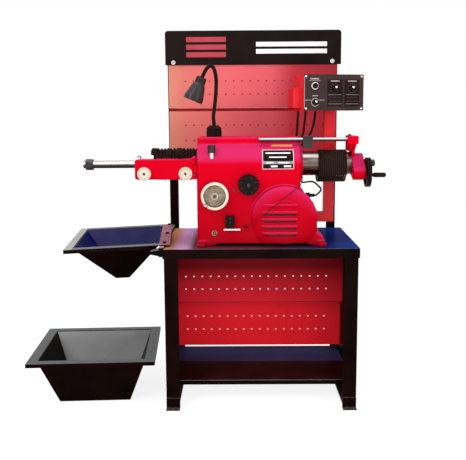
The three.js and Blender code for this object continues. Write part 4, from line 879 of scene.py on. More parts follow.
# %% [markdown]
# The tool boards and the back panels are punched with rows of round holes. Geometry Nodes suit this:
# a grid of points carries one punch each, a boolean takes them all out of the sheet at once, and the
# sizes stay inputs that can be changed for each board. Punches placed by hand would need a new set for
# every board.

# %% Node group helpers
def group(name, sockets):
    """A geometry node group with named inputs and one geometry output."""
    tree = bpy.data.node_groups.new(name, "GeometryNodeTree")
    for label, kind in sockets:
        tree.interface.new_socket(name=label, in_out="INPUT", socket_type="NodeSocket" + kind)
    tree.interface.new_socket(name="Geometry", in_out="OUTPUT", socket_type="NodeSocketGeometry")
    entry = add(tree, "NodeGroupInput")
    return tree, entry.outputs


def with_output(tree, shape, material):
    """Ends a tree: real geometry, one material, one output."""
    real = add(tree, "GeometryNodeRealizeInstances", {0: shape})
    coated = add(tree, "GeometryNodeSetMaterial", {"Geometry": real.outputs[0], "Material": material})
    add(tree, "NodeGroupOutput", {0: coated.outputs[0]})


def grown(name, tree, values):
    """Runs a node group on an empty object and opens the result as a bmesh."""
    holder = in_scene(name, bpy.data.meshes.new(name))
    modifier = holder.modifiers.new("nodes", "NODES")
    modifier.node_group = tree
    for item in tree.interface.items_tree:
        if item.in_out == "INPUT" and item.name in values:
            modifier[item.identifier] = values[item.name]
    return as_bmesh(result_of(holder))


# %% [markdown]
# The first tree is the punched sheet. Its grid has a point for each hole, and every punch is deeper
# than the sheet, so that the boolean leaves no skin in a hole. Sixteen sides make a hole of this size
# look round.

# %% Punched sheet nodes
HOLE_SIDES = 16
HOLE_ROWS = 2
punched, sockets = group("punched_sheet", [
    ("Width", "Float"), ("Height", "Float"), ("Thickness", "Float"), ("Hole radius", "Float"),
    ("Columns", "Int"), ("Pitch", "Float"), ("Row gap", "Float"), ("Shift X", "Float"), ("Shift Z", "Float"),
    ("Material", "Material"),
])
sheet_size = add(punched, "ShaderNodeCombineXYZ", {
    0: sockets["Width"], 1: sockets["Thickness"], 2: sockets["Height"],
})
sheet_block = add(punched, "GeometryNodeMeshCube", {"Size": sheet_size.outputs[0]})
row_width = add(punched, "ShaderNodeMath", {
    0: sockets["Columns"], 1: sockets["Pitch"],
}, operation="MULTIPLY")
row_span = add(punched, "ShaderNodeMath", {
    0: row_width.outputs[0], 1: sockets["Pitch"],
}, operation="SUBTRACT")
hole_grid = add(punched, "GeometryNodeMeshGrid", {
    "Size X": row_span.outputs[0], "Size Y": sockets["Row gap"],
    "Vertices X": sockets["Columns"], "Vertices Y": HOLE_ROWS,
})
grid_place = add(punched, "ShaderNodeCombineXYZ", {0: sockets["Shift X"], 2: sockets["Shift Z"]})
upright = add(punched, "GeometryNodeTransform", {
    "Geometry": hole_grid.outputs[0], "Translation": grid_place.outputs[0], "Rotation": (math.pi / 2, 0, 0),
})
punch_depth = add(punched, "ShaderNodeMath", {0: sockets["Thickness"], 1: 4.0}, operation="MULTIPLY")
punch = add(punched, "GeometryNodeMeshCylinder", {
    "Vertices": HOLE_SIDES, "Radius": sockets["Hole radius"], "Depth": punch_depth.outputs[0],
})
punches = add(punched, "GeometryNodeInstanceOnPoints", {
    "Points": upright.outputs[0], "Instance": punch.outputs["Mesh"], "Rotation": (math.pi / 2, 0, 0),
})
solid_punches = add(punched, "GeometryNodeRealizeInstances", {0: punches.outputs[0]})
cut_sheet = add(punched, "GeometryNodeMeshBoolean", {
    "Mesh 1": sheet_block.outputs[0],
}, operation="DIFFERENCE")
punched.links.new(solid_punches.outputs[0], cut_sheet.inputs["Mesh 2"])
with_output(punched, cut_sheet.outputs[0], sockets["Material"])
print("punched sheet nodes:", len(punched.nodes))

# %% [markdown]
# Each board is a punched sheet with its four edges folded back, which keeps a thin sheet stiff. The
# folds are plain strips, because they have no holes. Each board has its own hole size and row places.

# %% Tool boards and back panels
HOLE_COLUMNS = 18
HOLE_PITCH = 33.2
SHEET = 2


def board(node, coat, hole, centre, low_row, row_gap, fold, high=None):
    """A punched sheet with folded edges, where the CAD solid stands."""
    low_corner, high_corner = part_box(node)
    inverse = BENCH.inverted()
    x0, y0, z0 = inverse @ low_corner
    x1, y1, z1 = inverse @ high_corner
    z1 = high or z1
    middle = ((x0 + x1) / 2, y0 + SHEET / 2, (z0 + z1) / 2)
    sheet = grown(node + "_sheet", punched, {
        "Width": x1 - x0, "Height": z1 - z0, "Thickness": SHEET, "Hole radius": hole,
        "Columns": HOLE_COLUMNS, "Pitch": HOLE_PITCH, "Row gap": row_gap, "Shift X": centre - middle[0],
        "Shift Z": low_row + row_gap / 2 - middle[2], "Material": coat,
    })
    bmesh.ops.translate(sheet, vec=middle, verts=sheet.verts)
    back = y0 + SHEET, y0 + fold
    edges = [
        box(x0, x0 + SHEET, *back, z0, z1),
        box(x1 - SHEET, x1, *back, z0, z1),
        box(x0 + SHEET, x1 - SHEET, *back, z0, z0 + SHEET),
        box(x0 + SHEET, x1 - SHEET, *back, z1 - SHEET, z1),
    ]
    return piece(node + "_finish", merged(sheet, *edges), coat, nodes=[node], angle=30)


board("upper_back_panel", deep_red, hole=2.8, centre=-10, low_row=367, row_gap=52, fold=12)
board("lower_back_panel", deep_red, hole=2.6, centre=-10, low_row=182.5, row_gap=55.5, fold=12)
board("lower_tool_board", board_red_with_painted_glare, hole=3, centre=-11.5, low_row=959, row_gap=61.5, fold=9, high=1077.5)
board("upper_tool_board", board_red_with_painted_glare, hole=3, centre=-11.5, low_row=1146, row_gap=53, fold=9)
print("boards punched, holes in a row:", HOLE_COLUMNS)

# %% [markdown]
# A plain dark sheet behind each tool board closes its holes, so they look dark, and a dark strip closes
# the gap between the two boards: both are painted shade. They are simple boxes, so they need no nodes.

# %% Seam and back sheets
BEHIND_BOARDS = (-358.9, 324.9, 512.6, 513.9)
seam_shade_strip = soften(box(-361, 327, 512, 514, 1075, 1089.7), 0.5)
piece("board_seam_strip", seam_shade_strip, seam_shade_red)
shade_sheets = merged(box(*BEHIND_BOARDS, 890.1, 1075.4), box(*BEHIND_BOARDS, 1092.1, 1260.9))
piece("board_back_sheets", shade_sheets, seam_shade_red)
print("board seam and back sheets done")

# %% [markdown]
# The headstock is one big iron casting. Castings have no sharp edges: sand moulds leave generous
# fillets. A subdivision cage could give them too, but its openings are hard to keep round. Here the
# form is cut from two crossing outlines, whose shares run from 0 to 1 along a flank or a shoulder.

# %% Casting outlines
CAST_LEFT = -227
CAST_FRONT = 50
CAST_BACK = 350
CAST_BASE = 591.3
CAST_HEIGHT = 390
SPINE_RIGHT = 142
SPINE_FRONT = 105
SPINE_BACK = 300
SPINE_STEP = 27
SHOULDER_RISE = 60
FLANK_WIDTH = 93
FLANK_HEIGHT = 215
REAR_BEVEL = 50
CAST_RIGHT = SPINE_RIGHT + FLANK_WIDTH
CAST_TOP = CAST_BASE + CAST_HEIGHT
SHOULDER_LOW = CAST_TOP - SPINE_STEP - SHOULDER_RISE
flank_shares = [
    (0, 1), (0.21, 0.86), (0.38, 0.79), (0.52, 0.68), (0.6, 0.57), (0.655, 0.46), (0.655, 0.25), (0.72, 0.21),
    (0.87, 0.175), (0.98, 0.05), (1, 0),
]
shoulder_shares = [(0, 0), (0.08, 0.25), (0.3, 0.55), (0.62, 0.8), (1, 1)]


def front_outline():
    """The casting seen from the front, as [z, x]."""
    flank = [(CAST_BASE + z * FLANK_HEIGHT, SPINE_RIGHT + x * FLANK_WIDTH) for x, z in flank_shares]
    return [(CAST_BASE, CAST_LEFT), (CAST_TOP, CAST_LEFT), (CAST_TOP, SPINE_RIGHT)] + flank


def side_outline():
    """The casting seen from the side, as [y, z]."""
    depth = SPINE_FRONT - CAST_FRONT
    shoulder = [(CAST_FRONT + y * depth, SHOULDER_LOW + z * SHOULDER_RISE) for y, z in shoulder_shares]
    return [(CAST_FRONT, CAST_BASE)] + shoulder + [
        (SPINE_FRONT, CAST_TOP), (SPINE_BACK, CAST_TOP), (CAST_BACK, CAST_TOP - REAR_BEVEL),
        (CAST_BACK, CAST_BASE),
    ]


print("casting:", CAST_RIGHT - CAST_LEFT, "mm wide")

# %% [markdown]
# Two tools shape a casting. Booleans join and cut closed shapes. Then the shape is remeshed in small
# cells and relaxed, which rounds every corner the way a pattern maker would. A bevel often fails where
# curved cuts meet, and a remesh doesn't mind them.

# %% Join, cut and cast
RELAX_ROUNDS = 3


def combined(first, others, operation):
    """Joins, cuts or intersects closed shapes with exact booleans."""
    target = in_scene("operand", as_mesh("operand", first))
    tools = [in_scene("operand", as_mesh("operand", bm)) for bm in others]
    for tool in tools:
        modifier = target.modifiers.new("combine", "BOOLEAN")
        modifier.operation = operation
        modifier.solver = "EXACT"
        modifier.object = tool
    return as_bmesh(result_of(target, *tools))


def cast(bm, cell):
    """Remeshes a closed shape in small cells and relaxes it, so that all its edges become fillets."""
    item = in_scene("cast", as_mesh("cast", bm))
    remesh = item.modifiers.new("remesh", "REMESH")
    remesh.mode = "VOXEL"
    remesh.voxel_size = cell
    relax = item.modifiers.new("relax", "SMOOTH")
    relax.factor = 0.5
    relax.iterations = RELAX_ROUNDS
    return as_bmesh(result_of(item))


# %% [markdown]
# The headstock joins the crossed outlines with two foot lugs and a ring on its right. Then the bore of
# the spindle, the lock screw's hole and a low arch between the feet are cut out. The lowest part gets a
# darker paint, as painted shade near the bench.

# %% Headstock casting
OVER = 2
LUG = 30
SPINDLE = (0, AXIS_Y, AXIS_Z)
BORE_RADIUS = 45.6
LOCK_X, LOCK_Y = -173.5, 58
FOOT_LINE = 612
front_prism = extruded(front_outline(), CAST_FRONT - OVER, CAST_BACK + OVER, "y")
side_prism = extruded(side_outline(), CAST_LEFT - OVER, CAST_RIGHT + OVER, "x")
hull = combined(front_prism, [side_prism], "INTERSECT")
lugs = [box(x, x + LUG, 30, 60, CAST_BASE, CAST_BASE + 15) for x in (CAST_LEFT, CAST_RIGHT - LUG)]
ring = disc(68, SPINE_RIGHT - 12, SPINE_RIGHT + 16, "x", SPINDLE, 48)
bore = disc(BORE_RADIUS, CAST_LEFT - 5, SPINE_RIGHT + 30, "x", SPINDLE, 48)
lock_hole = disc(13.8, 927, 1000, "z", (LOCK_X, LOCK_Y, 0), 24)
arch = extruded([
    (CAST_BASE - OVER, CAST_LEFT + 35), (CAST_BASE + 10, CAST_LEFT + 75),
    (CAST_BASE + 10, 160), (CAST_BASE - OVER, 200),
], 0, 360, "y")
body_shape = combined(hull, lugs + [ring], "UNION")
body_shape = combined(body_shape, [bore, lock_hole, arch], "DIFFERENCE")
headstock = piece(
    "headstock_casting_finish", cast(body_shape, 4), crimson, nodes=["headstock_casting"], angle=60)
paint(headstock, crimson_in_painted_shade, lambda c, n: c.z < FOOT_LINE)
print("casting faces:", len(headstock.data.polygons))

# %% [markdown]
# The tool arm and the feed bracket are castings too, so their CAD solids are relaxed in the same way,
# only in smaller cells. The motor cover has narrow air slots that should stay crisp, so it only gets
# rounded edges.

# %% Smaller castings
SMALL_CELL = 1.6
for node in ("tool_arm", "feed_bracket"):
    solid = copy_of(node)
    bmesh.ops.transform(solid, matrix=BENCH.inverted(), verts=solid.verts)
    small_casting = piece(
        node + "_finish", cast(solid, SMALL_CELL), crimson, body_of_node(node), nodes=[node], angle=60)
    print(node, "faces:", len(small_casting.data.polygons))
dressed("motor_cover", crimson, 1.2)

# %% [markdown]
# Stripes, keys and printed bars are rows of equal bars. An array modifier could repeat them, but a
# node group with named inputs serves every row with one small tree.

# %% Row of bars
bar_row, sockets = group("bar_row", [
    ("Size", "Vector"), ("Count", "Int"), ("Step", "Vector"), ("Material", "Material"),
])
bar = add(bar_row, "GeometryNodeMeshCube", {"Size": sockets["Size"]})
line = add(bar_row, "GeometryNodeMeshLine", {"Count": sockets["Count"], "Offset": sockets["Step"]})
bars = add(bar_row, "GeometryNodeInstanceOnPoints", {
    "Points": line.outputs[0], "Instance": bar.outputs["Mesh"],
})
with_output(bar_row, bars.outputs[0], sockets["Material"])


def row(size, count=1, step=(0, 0, 0), start=(0, 0, 0)):
    """Equal bars, one step apart. The first has its middle at the start."""
    bm = grown("row", bar_row, {"Size": size, "Count": count, "Step": step})
    bmesh.ops.translate(bm, vec=start, verts=bm.verts)
    return bm


print("bar row nodes:", len(bar_row.nodes))

# %% [markdown]
# A thin dark line runs along the lower edge of the upper back panel, which stands in front of the
# lower one: a painted shadow of that edge. Paint by direction can't give it, because it lies on the flat
# face, so one bar draws it.

# %% Panel seam
panel_seam_shade = row((676, 0.6, 2.4), start=(0, 343.8, 314))
piece("lower_panel_seam", panel_seam_shade, seam_shade_red)
print("panel seam done")

# %% [markdown]
# Most machine parts only need their own metal or plastic and slightly rounded edges. Each could have a
# call of its own, but one table is easier to read: the finish, and the width of the rounding in mm.

# %% Plainly finished parts
FINISHES = {
    "quill": (quill_steel, 0.8), "arbor": (polished_steel, 0.8), "arbor_nut": (blackened_steel, 0.8),
    "front_bearing": (polished_steel, 0.5), "rear_bearing": (polished_steel, 0.5),
    "drawbar_nut": (blackened_steel, 0.6), "feed_crank_handle": (black_plastic, 2),
    "stop_rod": (polished_steel, 0.6), "stop_clamp": (blackened_steel, 1.5),
    "slide_way": (crimson, 0.8), "left_clamp_knob": (black_plastic, 1.5),
    "right_clamp_knob": (black_plastic, 1.5), "tool_bar": (polished_steel, 0.6),
    "cross_feed_handle": (chrome, 1.5), "selector_knob": (black_plastic, 1.2),
    "limit_switch": (black_plastic, 1), "trip_lever": (white_plastic, 0.8),
    "drive_motor": (grey_iron, 1), "motor_worm": (polished_steel, 0.3),
    "worm_wheel": (brass, 0.3), "start_button": (black_plastic, 1.5),
    "mode_selector": (black_plastic, 0.6), "speed_knob": (black_rubber, 0.6),
    "feed_knob": (black_plastic, 0.6),
}
for node, (material, width) in FINISHES.items():
    dressed(node, material, width)
print("plain parts:", len(FINISHES))

# %% [markdown]
# Ticks, ribs and knurls stand round an axis. They could be engraved in a texture, but small solid bars
# also change the outline and catch the light, and one node group plants them all.

# %% Ring of bars
bar_ring, sockets = group("bar_ring", [
    ("Size", "Vector"), ("Count", "Int"), ("Radius", "Float"), ("Start", "Float"), ("Step", "Float"),
    ("Material", "Material"),
])
bar = add(bar_ring, "GeometryNodeMeshCube", {"Size": sockets["Size"]})
spots = add(bar_ring, "GeometryNodePoints", {"Count": sockets["Count"]})
number = add(bar_ring, "GeometryNodeInputIndex")
angle = add(bar_ring, "ShaderNodeMath", {
    0: number.outputs[0], 1: sockets["Step"], 2: sockets["Start"],
}, operation="MULTIPLY_ADD")
spin = add(bar_ring, "ShaderNodeCombineXYZ", {2: angle.outputs[0]})
bars = add(bar_ring, "GeometryNodeInstanceOnPoints", {
    "Points": spots.outputs[0], "Instance": bar.outputs["Mesh"], "Rotation": spin.outputs[0],
})
reach = add(bar_ring, "ShaderNodeCombineXYZ", {0: sockets["Radius"]})
moved = add(bar_ring, "GeometryNodeTranslateInstances", {
    "Instances": bars.outputs[0], "Translation": reach.outputs[0],
})
with_output(bar_ring, moved.outputs[0], sockets["Material"])


def ring_of(size, count, radius, start, step, axis="z", centre=(0, 0, 0)):
    """Equal bars round an axis. Angles in degrees; size is along the radius, round it and along the axis."""
    bm = grown("ring", bar_ring, {
        "Size": size, "Count": count, "Radius": radius, "Start": math.radians(start),
        "Step": math.radians(step),
    })
    bmesh.ops.transform(bm, matrix=Matrix.Translation(centre) @ AXES[axis], verts=bm.verts)
    return bm


print("bar ring nodes:", len(bar_ring.nodes))

# %% [markdown]
# The two tool dials are turned aluminium with engraved ticks, a hub and a scribed ring. The marks are
# thin solids on the face of each dial, and they turn with it.

# %% Tool dials
DIAL_Z = 855
for side, x in (("left", -412), ("right", -266)):
    dressed(side + "_tool_dial", pale_aluminium, 1)
    marks = [
        ring_of((3.4, 0.5, 0.3), 24, 21, 0, 15, "y", (x, 33.9, DIAL_Z)),
        disc(4.5, 33.4, 34.6, "y", (x, 0, DIAL_Z), 24),
        disc(17.2, 33.8, 34.6, "y", (x, 0, DIAL_Z), 48, bore=16.6),
    ]
    piece(side + "_dial_marks", merged(*marks), blackened_steel, side + "_dial")
print("dials done")

# %% [markdown]
# The cross feed handwheel is turned aluminium: a bright rim, and a recess painted a darker brown as
# painted shade. The turning tool left rings in the recess. A bump could show them, but solid rings also
# show from the side.

# %% Cross feed handwheel
CROSS_X, CROSS_Z = -163, 776
CROSS_AXIS = (CROSS_X, 0, CROSS_Z)
cross_wheel = dressed("cross_feed_handwheel", pale_aluminium, 1.2)


def in_cross_recess(c, n):
    """A test for the faces of the recess, between the hub and the rim, which get painted shade."""
    return c.y > 22 and 12.2 < math.hypot(c.x - CROSS_X, c.z - CROSS_Z) < 40.5


paint(cross_wheel, brown_aluminium, in_cross_recess)
rings = [
    lathe([(r, 39), (r + 0.7, 37.8), (r + 1.4, 39), (r + 1.4, 40.5), (r, 40.5)], "y", CROSS_AXIS)
    for r in (14, 20, 27, 34)
]
piece("cross_wheel_turning_rings", merged(*rings), pale_aluminium, "cross_wheel")
hub_face = lathe([(5.5, 19.5), (9, 19.2), (10.6, 19.8), (10.6, 21), (5.5, 21)], "y", CROSS_AXIS, 40)
piece("cross_wheel_hub_face", hub_face, brown_aluminium, "cross_wheel")
hub_hole = disc(5.5, 19.6, 20.6, "y", CROSS_AXIS, 32)
piece("cross_wheel_hub_hole", hub_hole, blackened_steel, "cross_wheel")
print("turning rings:", len(rings))

# %% [markdown]
# The feed handwheel is black plastic, and the side of its rim gets a grey painted highlight. The
# selector is a lobed black knob with short ribs and a boss on its face.

# %% Feed handwheel and selector
RIM_INSIDE = 46
feed_wheel = dressed("feed_handwheel", black_plastic, 1.5)
paint(feed_wheel, edge_highlight_grey, lambda c, n: n.x > 0.5 and math.hypot(c.y - 137, c.z - 850) > RIM_INSIDE)
selector_marks = merged(
    ring_of((9, 1.6, 1.2), 8, 27, 22.5, 45, "y", (-43, 19.8, 814)),
    lathe([(0, 18.6), (6, 19), (7, 20.2), (0, 20.2)], "y", (-43, 0, 814), 24))
piece("selector_ribs", selector_marks, blackened_steel, "selector")
print("wheels done")

# %% [markdown]
# The lock screw is chromed and has a knurled black head: fine upright ridges all round, planted by the
# ring of bars. A bump alone would leave the outline of the head smooth.

# %% Quill lock screw
GRIP_LOW = 926.5
lock_screw = dressed("quill_lock_screw", chrome, 0.8)
paint(lock_screw, knurled_black, lambda c, n: c.z > GRIP_LOW)
knurl = ring_of((0.8, 1.1, 22), 36, 13.5, 0, 10, "z", (LOCK_X, LOCK_Y, 941))
piece("lock_screw_knurl", knurl, knurled_black, "lock_screw")
print("lock screw done")

# %% [markdown]
# A pleated rubber bellows keeps chips off the quill. A cloth simulation could fold it, but pleats
# follow a rule, so one turned profile gives them, and a few waves make the soft folds uneven.

# %% Bellows
BELLOWS_LEFT, BELLOWS_RIGHT = -382, -227.3
PLEATS = 13
VALLEY_RADIUS = 55
SIDE_RADIUS = 59.2
FOLD_RADIUS = 61.5


def pleated():
    """A pleated sleeve whose folds sag and lean a little, each in its own way."""
    pitch = (BELLOWS_RIGHT - BELLOWS_LEFT) / PLEATS
    profile = [(BORE_RADIUS, BELLOWS_LEFT)]
    for k in range(PLEATS):
        start = BELLOWS_LEFT + k * pitch
        profile += [
            (VALLEY_RADIUS, start), (SIDE_RADIUS, start + 0.3 * pitch), (FOLD_RADIUS, start + 0.45 * pitch),
            (FOLD_RADIUS, start + 0.55 * pitch), (SIDE_RADIUS, start + 0.7 * pitch),
        ]
    profile += [(VALLEY_RADIUS, BELLOWS_RIGHT), (BORE_RADIUS, BELLOWS_RIGHT)]
    bm = lathe(profile, "x", SPINDLE, 96)
    for vertex in bm.verts:
        out = Vector((0, vertex.co.y - AXIS_Y, vertex.co.z - AXIS_Z))
        if out.length < BORE_RADIUS + 5:
            continue
        turn = math.atan2(out.z, out.y)
        fold = (vertex.co.x - BELLOWS_LEFT) // pitch
        sag = 0.9 * math.sin(5 * turn + 2.3 * fold) + 0.6 * math.sin(11 * turn + 4.1 * fold) - 1.5
        vertex.co += out.normalized() * sag
        if BELLOWS_LEFT + 1 < vertex.co.x < BELLOWS_RIGHT - 1:
            vertex.co.x += 1.2 * math.sin(3 * turn + 1.7 * fold)
    return bm


bellows = piece("bellows_finish", pleated(), black_rubber, nodes=["bellows"], angle=70)
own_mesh(bellows)
print("pleats:", PLEATS)

# %% [markdown]
# The motor cover has five hoods: one above each of its four air slots, and one higher up. They are a
# row of wedges, trimmed by a dome a few millimetres larger than the cover, so that each stands out
# evenly from its bulge.

# %% Motor cover hoods
COVER_CENTRE = (85, 0, 690)
LOUVRES = 5
LOUVRE_PITCH = 25.3
LOUVRE_LOW = 635.3
big_dome = lathe([
    (0, 34.2), (68, 34.2), (86, 35.6), (102, 38.9), (116, 44.8), (118.5, 49), (0, 49),
], "y", COVER_CENTRE, 96)
louvre_heights = [LOUVRE_LOW + k * LOUVRE_PITCH for k in range(LOUVRES)]
wedges = merged(*[
    extruded([(46, z), (31, z), (31, z + 1.5), (38.2, z + 9), (46, z + 9)], 3, 131, "x")
    for z in louvre_heights])
hoods = combined(wedges, [big_dome], "INTERSECT")
piece("motor_cover_hoods", soften(hoods, 0.8), crimson, angle=50)
print("hoods:", LOUVRES)

# %% [markdown]
# Two raised arcs stand out: a small one on the cover, and a wide one round it. A swept tube could make
# them, but an arc is part of a ring, so each is turned on the lathe and a box keeps its upper part. The
# wide one also ends at the casting's flank.

# %% Motor cover arcs
inner_arc = lathe([
    (63, 38.6), (63.6, 36.4), (65, 35.6), (66.6, 36.4), (67.4, 38.6),
], "y", COVER_CENTRE, 96)
inner_arc = combined(inner_arc, [box(0, 200, 20, 60, 737, 800)], "INTERSECT")
outer_arc = lathe([
    (119, 49), (120.5, 46.5), (123, 46), (125, 47.4), (126, 51), (119, 51),
], "y", COVER_CENTRE, 128)
outer_arc = combined(outer_arc, [box(-60, 230, 20, 60, 690, 830)], "INTERSECT")
flank = extruded(front_outline(), 30, 60, "y")
outer_arc = combined(outer_arc, [flank], "INTERSECT")
piece("motor_cover_arcs", merged(inner_arc, outer_arc), crimson, angle=60)
print("arcs done")

# %% [markdown]
# The lamp hangs on a black flexible neck with a rib every few millimetres. A screw modifier could make
# ribs on a straight neck, but nodes plant them along any path: they even out the path, sweep a core
# along it and turn each rib to the way the path runs there.

# %% Ribbed hose nodes
HOSE_SIDES = 20
ribbed_hose, sockets = group("ribbed_hose", [
    ("Path", "Object"), ("Core radius", "Float"), ("Rib radius", "Float"), ("Rib width", "Float"),
    ("Ribs", "Int"), ("Material", "Material"),
])
path_shape = add(ribbed_hose, "GeometryNodeObjectInfo", {"Object": sockets["Path"]})
curve = add(ribbed_hose, "GeometryNodeMeshToCurve", {0: path_shape.outputs["Geometry"]})
even = add(ribbed_hose, "GeometryNodeResampleCurve", {"Curve": curve.outputs[0], "Count": sockets["Ribs"]})
core_ring = add(ribbed_hose, "GeometryNodeCurvePrimitiveCircle", {
    "Resolution": HOSE_SIDES, "Radius": sockets["Core radius"],
})
core = add(ribbed_hose, "GeometryNodeCurveToMesh", {
    "Curve": even.outputs[0], "Profile Curve": core_ring.outputs[0], "Fill Caps": True,
})
tangent = add(ribbed_hose, "GeometryNodeInputTangent")
lined_up = add(ribbed_hose, "FunctionNodeAlignRotationToVector", {"Vector": tangent.outputs[0]}, axis="Z")
rib = add(ribbed_hose, "GeometryNodeMeshCylinder", {
    "Vertices": HOSE_SIDES, "Radius": sockets["Rib radius"], "Depth": sockets["Rib width"],
})
ribs = add(ribbed_hose, "GeometryNodeInstanceOnPoints", {
    "Points": even.outputs[0], "Instance": rib.outputs["Mesh"], "Rotation": lined_up.outputs[0],
})
whole_hose = add(ribbed_hose, "GeometryNodeJoinGeometry")
ribbed_hose.links.new(core.outputs[0], whole_hose.inputs[0])
ribbed_hose.links.new(ribs.outputs[0], whole_hose.inputs[0])
with_output(ribbed_hose, whole_hose.outputs[0], sockets["Material"])
print("hose nodes:", len(ribbed_hose.nodes))

# %% [markdown]
# The neck's path uses the same shares as the CAD's neck: each is a share of the way from the foot to
# the lamp, and of the rise. So the two necks agree, and a ball at the end carries the lamp's shade.

# %% Lamp neck
LAMP_X, LAMP_Y = -168, 190
LAMP_PIVOT = (-213.3, LAMP_Y, 1190.2)
NECK_LOW = CAST_TOP + 42
RIB_PITCH = 3.6
neck_shares = [
    (0.0442, 0.348), (-0.0442, 0.4964), (-0.1325, 0.6544), (-0.1987, 0.8267), (-0.2097, 0.9847),
    (-0.1325, 1.1139), (0.0442, 1.2097), (0.2649, 1.2336), (0.5408, 1.1857), (0.7726, 1.0996), (1, 1),
]
lamp_path = [(LAMP_X, LAMP_Y, NECK_LOW), (LAMP_X, LAMP_Y, NECK_LOW + 7)] + [
    (LAMP_X + x * (LAMP_PIVOT[0] - LAMP_X), LAMP_Y, CAST_TOP + z * (LAMP_PIVOT[2] - CAST_TOP))
    for x, z in neck_shares
]


def ribbed(points, core_radius, rib_radius, rib_width, pitch):
    """A hose with a rib at every pitch of its length."""
    smooth = through(points)
    thread = bpy.data.meshes.new("path")
    thread.from_pydata(smooth, [(k, k + 1) for k in range(len(smooth) - 1)], [])
    thread_item = in_scene("path", thread)
    bm = grown("hose", ribbed_hose, {
        "Path": thread_item, "Core radius": core_radius, "Rib radius": rib_radius,
        "Rib width": rib_width, "Ribs": round(length_of(smooth) / pitch),
    })
    bpy.data.objects.remove(thread_item)
    return bm


neck_ball = lathe([
    (0, -12), (5, -10.9), (9, -7.9), (11.4, -3.7), (12, 0), (11.4, 3.7), (9, 7.9), (5, 10.9), (0, 12),
], "z", LAMP_PIVOT, 32)
neck = merged(ribbed(lamp_path, 6.3, 7.3, 2, RIB_PITCH), neck_ball)
piece("gooseneck_finish", neck, black_plastic, "lamp_neck", nodes=["gooseneck"])
print("neck length:", round(length_of(through(lamp_path))), "mm")

# %% [markdown]
# The lamp's magnet foot and its shade are round, so each is a profile turned on the lathe. The shade is
# moulded plastic, with a paler painted reflection of the sky where it looks up, and a clear lens with
# fine ribs sits inside its mouth, drawn opaque with grey painted reflections.

# %% Lamp foot and shade
SHADE = turned_place(*LAMP_PIVOT, 23, "Y")
COLLAR_LOW = -14
foot_shape = lathe([
    (0, 981.6), (28.5, 981.6), (28.5, 1003), (26, 1006), (28.5, 1009), (27, 1014), (22, 1018.5), (15, 1021.2),
    (9.5, 1022.6), (0, 1022.6),
], "z", (LAMP_X, LAMP_Y, 0), 48)
piece("lamp_base_finish", foot_shape, black_rubber, "lamp_foot", nodes=["lamp_base"])
shade_shape = lathe([
    (11, 8.5), (15, 8.5), (18, 6.5), (19.5, 2), (20, -12), (19, -15), (20.5, -18), (25, -26), (28.5, -38),
    (31.5, -52), (34.5, -62), (36.5, -70), (36.5, -83.5), (33.5, -83.5), (32, -66), (28.5, -52), (25.5, -38),
    (22, -27), (16, -18), (15, 5.5), (11, 5.5),
])
shade = piece("lamp_head_finish", shade_shape, lamp_black, "lamp_shade", SHADE, ["lamp_head"])
paint(shade, panel_black, lambda c, n: (SHADE.inverted() @ BENCH @ c).z > COLLAR_LOW)
lens_shape = merged(
    lathe([(0, -74), (31.6, -74), (33, -79), (28, -81), (0, -81.5)]),
    ring_of((24, 1.2, 1.2), 24, 15, 0, 15, "z", (0, 0, -81.2)))
piece("lamp_lens", lens_shape, lens_clear, "lamp_shade", SHADE)
print("lamp done")

# %% [markdown]
# The control panel is a printed film with plain bars and lines on it. Each of the two round knobs on
# the right sits on a dark plate of its own, above two rows of keys. A picture would be quicker for the
# print, but thin bars stay crisp at any distance.

# %% Control panel plates and print
PANEL = turned_place(279.5, 240, 1141, 14)
PLATES = (3.6, 71.6)
KEY_ROWS = (-18, -32)
dressed("control_panel", panel_black, 0.8)


def flat_bar(x, z, width, height, y=-3.5):
    """A printed bar on the panel, seen from the front."""
    return row((width, 0.5, height), start=(x, y, z))


plates = [soften(box(x - 30, x + 30, -4.2, -3.2, -52, 48), 0.4) for x in PLATES]
piece("panel_modules", merged(*plates), black_rubber, place=PANEL)
light_marks = merged(
    flat_bar(-76.8, 50, 34, 4.5), flat_bar(-76.8, 43, 44, 1.2), flat_bar(-103, -28, 22, 2),
    flat_bar(-50, -28, 24, 2), flat_bar(-74.7, -12, 22, 3), *[flat_bar(x, 42, 34, 4, -4.5) for x in PLATES],
    flat_bar(-116.5, 0, 2.2, 120), disc(15.8, -3.4, -4.6, "y", (-74.7, 0, -36), 48, bore=12.4),
    *[ring_of((3, 0.8, 0.5), 11, 16.5, -240, 30, "y", (x, -4.5, 15)) for x in PLATES])
piece("panel_marks", light_marks, grey_ink, place=PANEL)
button_ring = disc(13.6, -6.8, -8.2, "y", (-76.8, 0, 24), 48, bore=10.6)
piece("panel_button_ring", button_ring, white_ink, place=PANEL)
keys = [row((12, 0.8, 5), 3, (16, 0, 0), (x - 16, -4.6, z)) for x in PLATES for z in KEY_ROWS]
piece("panel_keys", merged(*keys), panel_black, place=PANEL)
lines = [row((52, 0.5, 1), 2, (0, 0, 34), (x, -4.6, -42)) for x in PLATES]
piece("panel_module_lines", merged(*lines), grey_ink, place=PANEL)
print("rows of keys:", len(keys))

# %% [markdown]
# Most screw heads here are small domes or, with six sides, bolt heads, and one turned profile, scaled
# to each size, makes them. A chrome cap a little above the middle of each knob stands for the glint on
# it, a painted highlight, and the caps turn with their knobs.

# %% Panel screws and knob caps
def screw_head(x, y, z, radius, height, axis, sides=24):
    """A domed screw head that stands on a face."""
    profile = [(0, 0), (radius, 0), (radius, 0.35 * height), (0.75 * radius, 0.8 * height), (0, height)]
    outward = -1 if axis == "y" else 1
    return lathe([(r, outward * h) for r, h in profile], axis, (x, y, z), sides)


